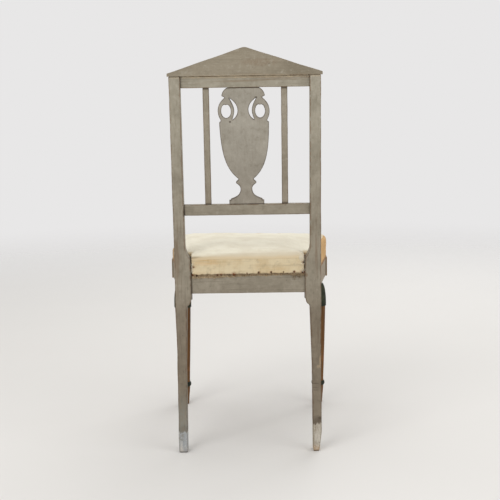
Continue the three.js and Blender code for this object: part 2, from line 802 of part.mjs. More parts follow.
// The side rail is a slab between the post and the leg's head, with a tenon bar through both ends.
function sideSeatRail() {
  const slab = boxGeometry(
    [-seatRailThickness / 2, -headWidth, lowRailBottomHeight],
    [seatRailThickness / 2, sideRailLength + headWidth, frameTopHeight],
  ).applyMatrix4(sideFrame);
  const between = box(
    [0, headRearY + fitGap, 0], [frontWidth, postFrontY - fitGap, frameTopHeight + cutOverrun],
  );
  return geometryOf(
    solid(slab)
      .intersect(between)
      .add(sideTenonBar(0))
      .subtract(pegHole(postPeg))
      .subtract(pegHole(headSidePeg))
      .subtract(screwHole(screwPlaces.front_block_side, true))
      .subtract(screwHole(screwPlaces.rear_block_side, true)),
  );
}

add(chair, 'front_seat_rail', frontSeatRail(), greyPaint);
add(chair, 'rear_seat_rail', rearSeatRail(), greyPaint);
addPair(chair, 'side_seat_rail', sideSeatRail(), greyPaint);

function cornerBlock(plan, places) {
  const shape = new THREE.Shape(plan.map(([x, y]) => new THREE.Vector2(x, y)));
  const body = new THREE.ExtrudeGeometry(shape, { depth: cornerBlockHeight, bevelEnabled: false })
    .translate(0, 0, cornerBlockBottomHeight);
  const drilled = places.reduce((rest, place) => rest.subtract(screwHole(place, false)), solid(body));
  return geometryOf(drilled);
}

addPair(
  chair,
  'front_corner_block',
  cornerBlock(frontBlockPlan(), [screwPlaces.front_block_front, screwPlaces.front_block_side]),
  hiddenWood,
);
addPair(
  chair,
  'rear_corner_block',
  cornerBlock(rearBlockPlan(), [screwPlaces.rear_block_rear, screwPlaces.rear_block_side]),
  hiddenWood,
);
for (const [name, place] of Object.entries(screwPlaces)) {
  addPair(chair, `screw_${name}`, screw().applyMatrix4(place), steel);
}

// Front legs

function frontLegProfile() {
  const bell = [];
  const bellSteps = 6;
  for (let step = bellSteps - 1; step > 0; step--) {
    const turn = Math.PI / 2 * step / bellSteps;
    bell.push([
      throatRadius + (bellRadius - throatRadius) * Math.sin(turn) ** bellFullnessPower,
      bellBottomHeight + bellLipHeight + (bellLength - bellLipHeight) * Math.cos(turn),
    ]);
  }
  const ringLow = ringHeight - ringThickness / 2;
  const ringHigh = ringHeight + ringThickness / 2;
  const ringEdge = ringThickness / 4;
  const ringSide = ringRadius - ringEdge;
  return [
    [0, 0],
    [pegFootRadius, 0],
    [(pegFootRadius + pegFootTopRadius) / 2, ringLow / 2],
    [pegFootTopRadius, ringLow],
    [ringSide, ringLow],
    [ringRadius, ringLow + ringEdge],
    [ringRadius, ringHigh - ringEdge],
    [ringSide, ringHigh],
    [shaftBottomRadius, ringHigh],
    [shaftBottomRadius, shaftBottomHeight],
    [shaftTopRadius, bellBottomHeight],
    [bellRadius, bellBottomHeight],
    [bellRadius, bellBottomHeight + bellLipHeight],
    ...bell,
    [throatRadius, throatHeight],
    [throatRadius, headBottomHeight - 3 * headFootDepth],
    [headFootRadius, headBottomHeight - headFootDepth],
    [headFootRadius, headBottomHeight + cutOverrun],
    [0, headBottomHeight + cutOverrun],
  ];
}

// The head's upper part, set back under the cover, with its corner cut off.
function headTop(bottom) {
  const shape = new THREE.Shape([
    new THREE.Vector2(headInnerX, headRearY),
    new THREE.Vector2(headInnerX, frontRailFaceY),
    new THREE.Vector2(seatCornerX - seatCornerReach, frontRailFaceY),
    new THREE.Vector2(seatCornerX, frontRailFaceY + seatCornerReach),
    new THREE.Vector2(seatCornerX, headRearY),
  ]);
  const depth = frameTopHeight - bottom + cutOverrun;
  return new THREE.ExtrudeGeometry(shape, { depth, bevelEnabled: false })
    .translate(0, 0, bottom - cutOverrun);
}

function frontLeg() {
  const faceTopHeight = headBottomHeight + headFaceHeight;
  return geometryOf(
    solid(turned(frontLegProfile(), legSides).translate(legX, legY, 0))
      .add(box([headInnerX, frontY, headBottomHeight], [headOuterX, headRearY, faceTopHeight]))
      .add(solid(headTop(faceTopHeight)))
      .subtract(box(...frontTenon, fitGap))
      .subtract(sideTenonBar(fitGap))
      .subtract(pegHole(headFrontPeg))
      .subtract(pegHole(headSidePeg)),
  );
}

addPair(chair, 'front_leg', frontLeg(), brownWood);

// Pegs and dowels
addPair(back, 'peg_crest_rail', pegGeometry(crestPeg), pegWood);
addPair(back, 'peg_cross_rail', pegGeometry(crossPeg), pegWood);
addPair(chair, 'peg_rear_rail', pegGeometry(rearPeg), pegWood);
addPair(chair, 'peg_side_rail_rear', pegGeometry(postPeg), pegWood);
addPair(chair, 'peg_side_rail_front', pegGeometry(headSidePeg), pegWood);
addPair(chair, 'peg_front_rail', pegGeometry(headFrontPeg), pegWood);
addPair(back, 'dowel_inner', rodGeometry(...innerDowel, dowelRadius, pegSides), hiddenWood);
addPair(back, 'dowel_outer', rodGeometry(...outerDowel, dowelRadius, pegSides), hiddenWood);

// Webbing: strips that lie low on the rails and step over each other in turn

const webLow = frameTopHeight + fitGap;
const webHigh = webLow + webThickness + fitGap;

// The side of one strip, as its distance along and its height, over the strips at `crossings`.
function webSide(start, end, crossings) {
  const lower = [[start, webLow]];
  for (const middle of crossings) {
    const reach = webWidth / 2 + fitGap;
    lower.push(
      [middle - reach - webRamp, webLow], [middle - reach, webHigh],
      [middle + reach, webHigh], [middle + reach + webRamp, webLow],
    );
  }
  lower.push([end, webLow]);
  const upper = lower.map(([along, height]) => [along, height + webThickness]).reverse();
  return new THREE.Shape([...lower, ...upper].map(([along, height]) => new THREE.Vector2(along, height)));
}

const seatMiddleY = (frontRailInnerY + rearRailInnerY) / 2;
const webColumns = [-1, 0, 1];
const webPitchAcross = seatPostInnerX - webPostGap - webWidth / 2;
const deepWebX = webColumns.map((column) => column * webPitchAcross);
const crossWebY = webColumns.map((column) => seatMiddleY + column * webPitchDeep);

function deepWeb(column) {
  const crossings = crossWebY.filter((y, row) => (row + column) % 2 === 0);
  const side = webSide(frontRailFaceY + webEndInset, rearRailFaceY - webEndInset, crossings);
  const across = new THREE.Matrix4().makeBasis(
    new THREE.Vector3(0, 1, 0), new THREE.Vector3(0, 0, 1), new THREE.Vector3(1, 0, 0),
  );
  return new THREE.ExtrudeGeometry(side, { depth: webWidth, bevelEnabled: false })
    .applyMatrix4(across)
    .translate(deepWebX[column] - webWidth / 2, 0, 0);
}

function crossWeb(row) {
  const crossings = deepWebX.filter((x, column) => (row + column) % 2 === 1);
  const reach = sideOuterX(crossWebY[row] + webWidth / 2) - webEndInset;
  return board(webSide(-reach, reach, crossings), crossWebY[row] + webWidth / 2, webWidth, 1);
}

['right', 'middle', 'left'].forEach((place, column) => {
  add(chair, `web_deep_${place}`, deepWeb(column), webCloth);
});
['front', 'middle', 'rear'].forEach((place, row) => {
  add(chair, `web_across_${place}`, crossWeb(row), webCloth);
});

// The stuffed seat

const postHem = frameTopHeight + 2 * fitGap;

// One loop round the seat, anticlockwise from the middle of its front edge. `free` moves the edges
// over the rails inwards and `tight` those beside the posts. Each point has the height of its hem.
function seatLoop(free, tight) {
  const frontEdgeY = frontRailFaceY - fitGap + free;
  const rearEdgeY = rearRailFaceY + fitGap - free;
  const headX = seatCornerX + fitGap - free;
  const sideX = (y) => (y < headRearY
    ? THREE.MathUtils.mapLinear(y, frontEdgeY, headRearY, headX, sideX(headRearY))
    : sideOuterX(y) + (fitGap - free) / Math.cos(sideAngle));
  const notchY = postFrontY - fitGap - tight;
  const notchX = seatPostInnerX - postEase - tight;
  const corner = new THREE.Vector2(headX, frontEdgeY);
  const cornerStart = new THREE.Vector2(corner.x - seatCornerReach, frontEdgeY);
  const cornerEnd = new THREE.Vector2(sideX(frontEdgeY + seatCornerReach), frontEdgeY + seatCornerReach);
  const sideEnd = new THREE.Vector2(sideX(notchY), notchY);
  const sideStepY = notchY - hemTurn;
  const frontSteps = 3;
  const cornerSteps = 5;
  const sideSteps = 4;
  const rearSteps = 4;
  const half = [];
  for (let step = 0; step < frontSteps; step++) {
    half.push([cornerStart.x * step / frontSteps, frontEdgeY, sideHemHeight]);
  }
  const bend = new THREE.QuadraticBezierCurve(cornerStart, corner, cornerEnd);
  for (const point of bend.getPoints(cornerSteps)) half.push([point.x, point.y, sideHemHeight]);
  for (let step = 0; step <= sideSteps; step++) {
    const y = THREE.MathUtils.lerp(headRearY, sideStepY, step / sideSteps);
    half.push([sideX(y), y, sideHemHeight]);
  }
  half.push([sideEnd.x, sideEnd.y, postHem], [notchX, notchY, postHem], [notchX, rearEdgeY, postHem]);
  for (let step = 0; step <= rearSteps; step++) {
    half.push([(notchX - hemTurn / 2) * (1 - step / rearSteps), rearEdgeY, rearHemHeight]);
  }
  const other = half.slice(1, -1).reverse().map(([x, y, hem]) => [-x, y, hem]);
  return [...half, ...other];
}

// A loop at a depth inside the cover: heightOf gives each point's height from its hem,
// and the sides swell between the frame and the shoulder.
function sideLayer(depth, heightOf) {
  const shoulderStart = shoulderHeight - shoulderRadius;
  return seatLoop(0, 0).map(([, , hem], index) => {
    const height = heightOf(hem);
    const share = THREE.MathUtils.clamp((height - frameTopHeight) / (shoulderStart - frameTopHeight), 0, 1);
    const swell = seatBulge * Math.sin(Math.PI * share);
    const [x, y] = seatLoop(depth - coverThickness - swell, depth)[index];
    return new THREE.Vector3(x, y, height);
  });
}

// A loop round the rolled shoulder, at an angle from upright.
function shoulderLayer(depth, turn) {
  const inset = shoulderRadius - (shoulderRadius - depth) * Math.cos(turn);
  const height = shoulderHeight - shoulderRadius + (shoulderRadius - depth) * Math.sin(turn);
  return seatLoop(inset - coverThickness, inset).map(([x, y]) => new THREE.Vector3(x, y, height));
}

const shoulderTurn = THREE.MathUtils.degToRad(shoulderTurnDegrees);
const crownMiddle = new THREE.Vector2(0, seatMiddleY);

// The shoulder's last loop drawn in towards the middle, rising to the crown.
function crownLayer(depth, share) {
  const rim = shoulderLayer(depth, shoulderTurn);
  const rise = crownHeight - depth - rim[0].z;
  return rim.map((point) => new THREE.Vector3(
    crownMiddle.x + (point.x - crownMiddle.x) * share,
    crownMiddle.y + (point.y - crownMiddle.y) * share,
    crownHeight - depth - rise * share ** crownPower,
  ));
}

function topLayers(depth) {
  const turnShares = [0.4, 0.7, 1];
  const crownShares = [0.86, 0.62, 0.34];
  return [
    ...turnShares.map((share) => shoulderLayer(depth, shoulderTurn * share)),
    ...crownShares.map((share) => crownLayer(depth, share)),
  ];
}

// Skins a stack of loops. An end is closed by a point, or both ends are joined to each other.
function loft(layers, firstPoint, lastPoint) {
  const count = layers[0].length;
  const points = layers.flat();
  const faces = [];
  const rings = firstPoint ? layers.length - 1 : layers.length;
  for (let ring = 0; ring < rings; ring++) {
    const below = ring * count;
    const above = (ring + 1) % layers.length * count;
    for (let index = 0; index < count; index++) {
      const next = (index + 1) % count;
      faces.push(below + index, below + next, above + next, below + index, above + next, above + index);
    }
  }
  const close = (point, start, outwards) => {
    points.push(point);
    for (let index = 0; index < count; index++) {
      const next = (index + 1) % count;
      const pair = outwards ? [start + index, start + next] : [start + next, start + index];
      faces.push(...pair, points.length - 1);
    }
  };
  if (firstPoint) close(firstPoint, 0, false);
  if (lastPoint) close(lastPoint, (layers.length - 1) * count, true);
  const geometry = new THREE.BufferGeometry().setFromPoints(points);
  geometry.setIndex(faces);
  geometry.computeVertexNormals();
  return geometry;
}

const shoulderStartHeight = shoulderHeight - shoulderRadius;
const crownPoint = (depth) => new THREE.Vector3(crownMiddle.x, crownMiddle.y, crownHeight - depth);

function scrimBorder() {
  const top = shoulderStartHeight - fitGap;
  const levelShares = [0, 0.25, 0.5, 0.75, 1];
  const wall = (depth) => [
    sideLayer(depth, (hem) => hem),
    ...levelShares.map((share) => sideLayer(depth, () => THREE.MathUtils.lerp(stuffingBottom, top, share))),
  ];
  return loft([...wall(0), ...wall(coverThickness).reverse()]);
}

function calicoCover() {
  const skin = (depth) => [sideLayer(depth, () => shoulderStartHeight), ...topLayers(depth)];
  const inner = skin(coverThickness).reverse();
  return loft([...inner, ...skin(0)], crownPoint(coverThickness), crownPoint(0));
}

const baseClothBottom = webHigh + webThickness + fitGap;
const stuffingBottom = baseClothBottom + baseClothThickness + fitGap;

function hairStuffing() {
  const depth = coverThickness + 2 * fitGap;
  const sideShares = [0, 0.5, 1];
  const sides = sideShares.map((share) => (
    sideLayer(depth, () => THREE.MathUtils.lerp(stuffingBottom, shoulderStartHeight, share))
  ));
  const floor = new THREE.Vector3(crownMiddle.x, crownMiddle.y, stuffingBottom);
  return loft([...sides, ...topLayers(depth)], floor, crownPoint(depth));
}

function baseClothSheet() {
  const loop = seatLoop(baseClothInset, baseClothInset).map(([x, y]) => new THREE.Vector2(x, y));
  return new THREE.ExtrudeGeometry(new THREE.Shape(loop), { depth: baseClothThickness, bevelEnabled: false })
    .translate(0, 0, baseClothBottom);
}

add(chair, 'base_cloth', baseClothSheet(), baseCloth);
add(chair, 'hair_stuffing', hairStuffing(), hair);
add(chair, 'scrim_border', scrimBorder(), scrim);
add(chair, 'calico_cover', calicoCover(), calico);

export default chair;
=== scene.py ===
# A grey painted side chair with an urn splat, turned front legs and a stuffed seat in its undercover.
# Metres, +Z up. The sitter faces -Y and the back stands on the +Y side.
import json
import math
import bpy
import numpy as np
from mathutils import Matrix, Vector, geometry


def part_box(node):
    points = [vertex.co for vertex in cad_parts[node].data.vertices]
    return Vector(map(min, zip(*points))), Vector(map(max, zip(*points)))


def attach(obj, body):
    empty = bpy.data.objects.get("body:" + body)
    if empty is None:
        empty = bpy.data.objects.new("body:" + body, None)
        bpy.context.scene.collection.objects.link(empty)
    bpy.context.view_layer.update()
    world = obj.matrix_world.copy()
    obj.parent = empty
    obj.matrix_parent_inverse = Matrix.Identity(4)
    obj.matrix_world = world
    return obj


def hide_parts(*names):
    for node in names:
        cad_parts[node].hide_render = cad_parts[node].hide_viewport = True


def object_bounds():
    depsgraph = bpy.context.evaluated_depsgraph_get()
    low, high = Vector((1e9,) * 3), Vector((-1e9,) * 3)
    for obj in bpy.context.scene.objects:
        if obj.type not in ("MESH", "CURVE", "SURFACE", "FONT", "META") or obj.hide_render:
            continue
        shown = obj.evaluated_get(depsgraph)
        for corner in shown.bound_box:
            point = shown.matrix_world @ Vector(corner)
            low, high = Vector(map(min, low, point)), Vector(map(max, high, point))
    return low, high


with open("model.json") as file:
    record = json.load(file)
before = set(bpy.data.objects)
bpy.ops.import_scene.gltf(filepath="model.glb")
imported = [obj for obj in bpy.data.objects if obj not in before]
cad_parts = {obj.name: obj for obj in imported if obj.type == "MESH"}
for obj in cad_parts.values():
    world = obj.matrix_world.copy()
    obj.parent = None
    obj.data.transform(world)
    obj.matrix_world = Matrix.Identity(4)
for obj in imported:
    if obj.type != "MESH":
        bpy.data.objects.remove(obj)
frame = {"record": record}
cadLow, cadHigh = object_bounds()
mm = 0.001
scene = bpy.context.scene
print("frame loaded")


def boxOf(node):
    low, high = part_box(node)
    return np.array(low), np.array(high)


# Places that the frame gives
legLow, legHigh = boxOf("rear_leg_left")
rearRailLow, rearRailHigh = boxOf("rear_seat_rail")
frontRailLow, frontRailHigh = boxOf("front_seat_rail")
headLow, headHigh = boxOf("front_leg_left")

place = {
    "backHalf": legHigh[0],
    "seatPostInner": legLow[0],
    "frameTop": rearRailHigh[2],
    "rearRailFace": rearRailHigh[1],
    "rearRailInner": rearRailLow[1],
    "rearFace": rearRailHigh[1] + 4 * mm,
    "front": float(cadLow.y),
    "frontRailFace": frontRailLow[1],
    "frontRailInner": frontRailHigh[1],
    "lowRailBottom": frontRailLow[2],
    "headOuter": headHigh[0],
    "headInner": headLow[0],
    "headRear": headHigh[1],
}
place["leanStart"] = place["frameTop"] + 17 * mm
place["postFront"] = place["rearFace"] - 34 * mm
place["postInner"] = place["backHalf"] - 25.4 * mm
lean = math.radians(4)
bothSides = (("left", 1), ("right", -1))  # the sitter's left is +X


# Camera and light

view = {
    "at": (-29.3 * mm, place["rearFace"] + 2276.9 * mm, 807.7 * mm),
    "yaw": -0.0103,  # radians, as are the next two
    "pitch": 0.1413,
    "roll": -0.0153,
    "lens": 70.82,
    "sensor": 36,
}


def makeCamera():
    # forwards looks along -Y, turned by the yaw and dropped by the pitch; the roll turns right and up
    yaw, pitch, roll = view["yaw"], view["pitch"], view["roll"]
    ahead = Vector((-math.sin(yaw), -math.cos(yaw), 0))
    forwards = math.cos(pitch) * ahead - math.sin(pitch) * Vector((0, 0, 1))
    level = Vector((-math.cos(yaw), math.sin(yaw), 0))
    upright = level.cross(forwards)
    right = math.cos(roll) * level + math.sin(roll) * upright
    up = math.cos(roll) * upright - math.sin(roll) * level
    camera = bpy.data.objects.new("camera", bpy.data.cameras.new("camera"))
    camera.data.lens = view["lens"]
    camera.data.sensor_width = view["sensor"]
    turned = Matrix((right, up, -forwards)).transposed().to_4x4()
    camera.matrix_world = Matrix.Translation(view["at"]) @ turned
    scene.collection.objects.link(camera)
    scene.camera = camera


lamps = {
    # name: (place, size, watts)
    "key_lamp": ((1.7, 2.6, 2.5), 1.8, 38),
    "fill_lamp": ((-2.3, 1.6, 1.7), 2.2, 16),
    "front_lamp": ((-1.2, -2.6, 2.4), 2.2, 30),
    "top_lamp": ((0.2, 0.1, 3.2), 2.4, 15),
}


def makeLamps():
    target = Vector((0, 0, place["frameTop"]))
    for name, (spot, size, watts) in lamps.items():
        lamp = bpy.data.objects.new(name, bpy.data.lights.new(name, "AREA"))
        lamp.data.size = size
        lamp.data.energy = watts
        way = target - Vector(spot)
        turned = way.to_track_quat("-Z", "Y").to_matrix().to_4x4()
        lamp.matrix_world = Matrix.Translation(spot) @ turned
        scene.collection.objects.link(lamp)


def tone(red, green, blue):
    # a colour as it shows on screen, 0 to 255, as the linear one that a shader takes
    shares = np.array([red, green, blue]) / 255
    linear = np.where(shares > 0.04045, ((shares + 0.055) / 1.055) ** 2.4, shares / 12.92)
    return (*linear.tolist(), 1.0)


# Shader sums

class Wire:
    # one output socket; a sum on it adds its Math node
    def __init__(self, looks, socket):
        self.looks = looks
        self.socket = socket

    def sum(self, operation, first, second):
        return self.looks.node("ShaderNodeMath", {"operation": operation}, {0: first, 1: second})

    def __add__(self, other):
        return self.sum("ADD", self, other)

    def __sub__(self, other):
        return self.sum("SUBTRACT", self, other)

    def __rsub__(self, other):
        return self.sum("SUBTRACT", other, self)

    def __mul__(self, other):
        return self.sum("MULTIPLY", self, other)

    def __truediv__(self, other):
        return self.sum("DIVIDE", self, other)

    def __pow__(self, other):
        return self.sum("POWER", self, other)

    __radd__ = __add__
    __rmul__ = __mul__


class Looks:
    # one material and its nodes
    def __init__(self, name, tree=None):
        if tree is None:
            self.material = bpy.data.materials.new(name)
            self.material.use_nodes = True
            tree = self.material.node_tree
            self.shader = tree.nodes["Principled BSDF"]
        self.tree = tree

    def feed(self, sockets, values):
        for key, value in values.items():
            if isinstance(value, Wire):
                self.tree.links.new(value.socket, sockets[key])
            elif value is not None:
                sockets[key].default_value = value

    def node(self, kind, settings=None, values=None, out=0):
        made = self.tree.nodes.new(kind)
        for key, value in (settings or {}).items():
            setattr(made, key, value)
        self.feed(made.inputs, values or {})
        return Wire(self, made.outputs[out])

    def spot(self):
        return self.node("ShaderNodeTexCoord", out="Object")

    def axes(self, vector=None):
        whole = vector or self.spot()
        return [self.node("ShaderNodeSeparateXYZ", {}, {0: whole}, out=axis) for axis in range(3)]

    def mark(self, name):
        return self.node("ShaderNodeAttribute", {"attribute_name": name}, out="Fac")

    def noise(self, scale, shift=0.0, detail=4.0, rough=0.55, stretch=(1, 1, 1), vector=None):
        # a stretch under 1 draws the pattern out along that axis
        values = {"Vector": vector or self.spot(), "Location": (shift,) * 3, "Scale": stretch}
        mapped = self.node("ShaderNodeMapping", {}, values)
        values = {"Vector": mapped, "Scale": scale, "Detail": detail, "Roughness": rough}
        return self.node("ShaderNodeTexNoise", {}, values)

    def ease(self, value, low, high):
        # 0 below low and 1 above high, smooth between; low may be the greater
        if low > high:
            return 1 - self.ease(value, high, low)
        values = {"Value": value, "From Min": low, "From Max": high}
        return self.node("ShaderNodeMapRange", {"interpolation_type": "SMOOTHSTEP"}, values)

    def patch(self, axes, centre, reach):
        # 1 in the middle of an ellipse in two axes and 0 outside it
        first = (axes[0] - centre[0]) / reach[0]
        second = (axes[1] - centre[1]) / reach[1]
        return self.ease(first * first + second * second, 1.0, 0.0)

    def patches(self, axes, marks):
        # the sum of some patches, each with its middle and half size in millimetres and its strength
        total = 0.0
        for centre, reach, strength in marks:
            centre, reach = [[value * mm for value in pair] for pair in (centre, reach)]
            total = self.patch(axes, centre, reach) * strength + total
        return total

    def mix(self, share, first, second, blend="MIX"):
        settings = {"data_type": "RGBA", "blend_type": blend}
        return self.node("ShaderNodeMix", settings, {0: share, 6: first, 7: second}, out=2)

    def layers(self, colour, *coats):
        # each coat has a mask, the values at which it starts and is whole, its strength and its colour
        for mask, low, high, strength, over in coats:
            colour = self.mix(self.ease(mask, low, high) * strength, colour, over)
        return colour

    def bump(self, height, distance, strength=1.0):
        values = {"Height": height, "Distance": distance, "Strength": strength}
        return self.node("ShaderNodeBump", {}, values)

    def finish(self, colour, roughness, normal=None, **others):
        self.feed(self.shader.inputs, {"Base Color": colour, "Roughness": roughness, "Normal": normal})
        self.feed(self.shader.inputs, {key.replace("_", " "): value for key, value in others.items()})
        return self.material


surroundings = {
    "floor": tone(226, 224, 221),
    "floorShade": tone(208, 205, 201),
    "backdrop": tone(232, 231, 231),
    "sky": tone(255, 254, 252),
    "skyStrength": 0.64,
    "floorReach": 6,
    "floorSides": 96,
    "fadeStart": 1.1,
    "fadeEnd": 4.8,
}


def makeSurroundings():
    # the sky lights the chair, and the camera and gloss see the backdrop's colour in its place
    world = bpy.data.worlds.new("surroundings")
    world.use_nodes = True
    scene.world = world
    looks = Looks("surroundings", world.node_tree)
    kinds = ("Is Camera Ray", "Is Glossy Ray", "Is Transmission Ray")
    rays = [looks.node("ShaderNodeLightPath", out=kind) for kind in kinds]
    seen = looks.ease(rays[0] + rays[1] + rays[2], 0.4, 0.6)
    colour = looks.mix(seen, surroundings["sky"], surroundings["backdrop"])
    strength = surroundings["skyStrength"] + seen * (1 - surroundings["skyStrength"])
    background = world.node_tree.nodes["Background"]
    looks.feed(background.inputs, {"Color": colour, "Strength": strength})

    # a disc of floor that fades into the backdrop away from the chair
    turn = np.linspace(0, 2 * np.pi, surroundings["floorSides"], endpoint=False)
    rim = surroundings["floorReach"] * joined(np.cos(turn), np.sin(turn), 0)
    floorMesh = bpy.data.meshes.new("floor")
    floorMesh.from_pydata(rim.tolist(), [], [list(range(len(turn)))])
    floor = bpy.data.objects.new("floor", floorMesh)
    scene.collection.objects.link(floor)
    looks = Looks("floor")
    x, y = looks.axes()[:2]
    grain = looks.noise(3.0, detail=3.0)
    shade = looks.mix(grain * 0.12, surroundings["floor"], surroundings["floorShade"])
    fade = looks.ease((x * x + y * y) ** 0.5, surroundings["fadeEnd"], surroundings["fadeStart"])
    floor.data.materials.append(looks.finish(shade, 0.8, Alpha=fade))


# Wood finishes

paint = {
    "dark": tone(118, 110, 94),
    "wood": tone(126, 98, 70),
    # grime, which also stands for painted shade at the joints and arrises
    "grimeAndShade": tone(70, 58, 45),
    "chip": tone(186, 180, 166),
    "pale": tone(206, 190, 162),
    "blue": tone(133, 136, 130),
    "tan": tone(178, 150, 118),
    "footSpeck": tone(212, 208, 200),
    # the painted shade that darkens the paint lower down
    "paintedShadeLow": tone(206, 197, 190),
    "relief": 0.35 * mm,
}
coats = {
    # light and middle colours, then how strongly the streaks, the thin paint, the bare edges and the
    # dirty edges show; the dirt at the edges is also painted shade
    "frame": (tone(163, 156, 140), tone(145, 138, 122), 0.50, 0.40, 0.65, 0.20),
    # the side rails' paint is a lighter copy of the frame's: painted light on faces turned to the lamp
    "side": (tone(178, 166, 147), tone(160, 147, 127), 0.50, 0.60, 0.65, 0.20),
    "slat": (tone(157, 148, 132), tone(140, 131, 114), 0.60, 0.60, 0.45, 0.45),
    "pediment": (tone(147, 137, 119), tone(129, 119, 101), 0.45, 0.45, 0.22, 0.15),
    "urn": (tone(162, 156, 144), tone(150, 144, 132), 0.22, 0.10, 0.12, 0.75),
}
feet = {
    # how far up the leg's end is pale, the middle of the dark smudge over it and its strength, the top
    # of the bluish streaks over that, how tanned the sole is, and the end's pale and dull colours
    "left": (50 * mm, 58 * mm, 0.45, 170 * mm, 0.1, tone(190, 187, 180), tone(150, 154, 157)),
    "right": (67 * mm, 76 * mm, 1.0, 90 * mm, 0.7, tone(188, 181, 168), tone(142, 130, 112)),
}
# marks on the faces seen from behind: middle (x, z) and half size in millimetres, and strength
rubs = [  # worn to brown wood
    ((168, 446), (5, 10), 0.5),
    ((169, 512), (3, 20), 0.6),
    ((-36, 914), (80, 15), 0.55),
    ((150, 700), (6, 60), 0.35),
    ((-137, 423), (6, 7), 1.0),
]
scuffs = [  # scraped to a pale undercoat; the last is the pale line under the pediment
    ((-169, 214), (4, 24), 1.0),
    ((-163, 203), (5, 7), 0.8),
    ((-147, 184), (3, 4), 0.9),
    ((168, 61), (7, 7), 0.5),
    ((0, 883), (360, 5.5), 0.75),
]
scratches = [  # thin dark lines across the right leg
    ((-155, 163), (15, 1.9), 1.0),
    ((-155, 153), (14, 1.3), 0.7),
    ((-156, 147), (13, 1.5), 0.8),
    ((-157, 222), (10, 1.2), 0.5),
    ((-166, 80), (5, 6), 1.0),
]
spots = [  # holes and knots
    ((35.1, 781.8), (3.4, 3.2), 1.0),
    ((-25, 836.5), (4.2, 2.8), 0.9),
    ((place["postInner"] / mm, 572), (3.4, 15), 1.0),
]
wornMarks = ((rubs, "wood", 0.6), (scuffs, "pale", 0.85), (scratches, "grimeAndShade", 0.55))
grains = {"up": (1, 1, 0.045), "across": (0.045, 1, 1), "deep": (1, 0.045, 1)}


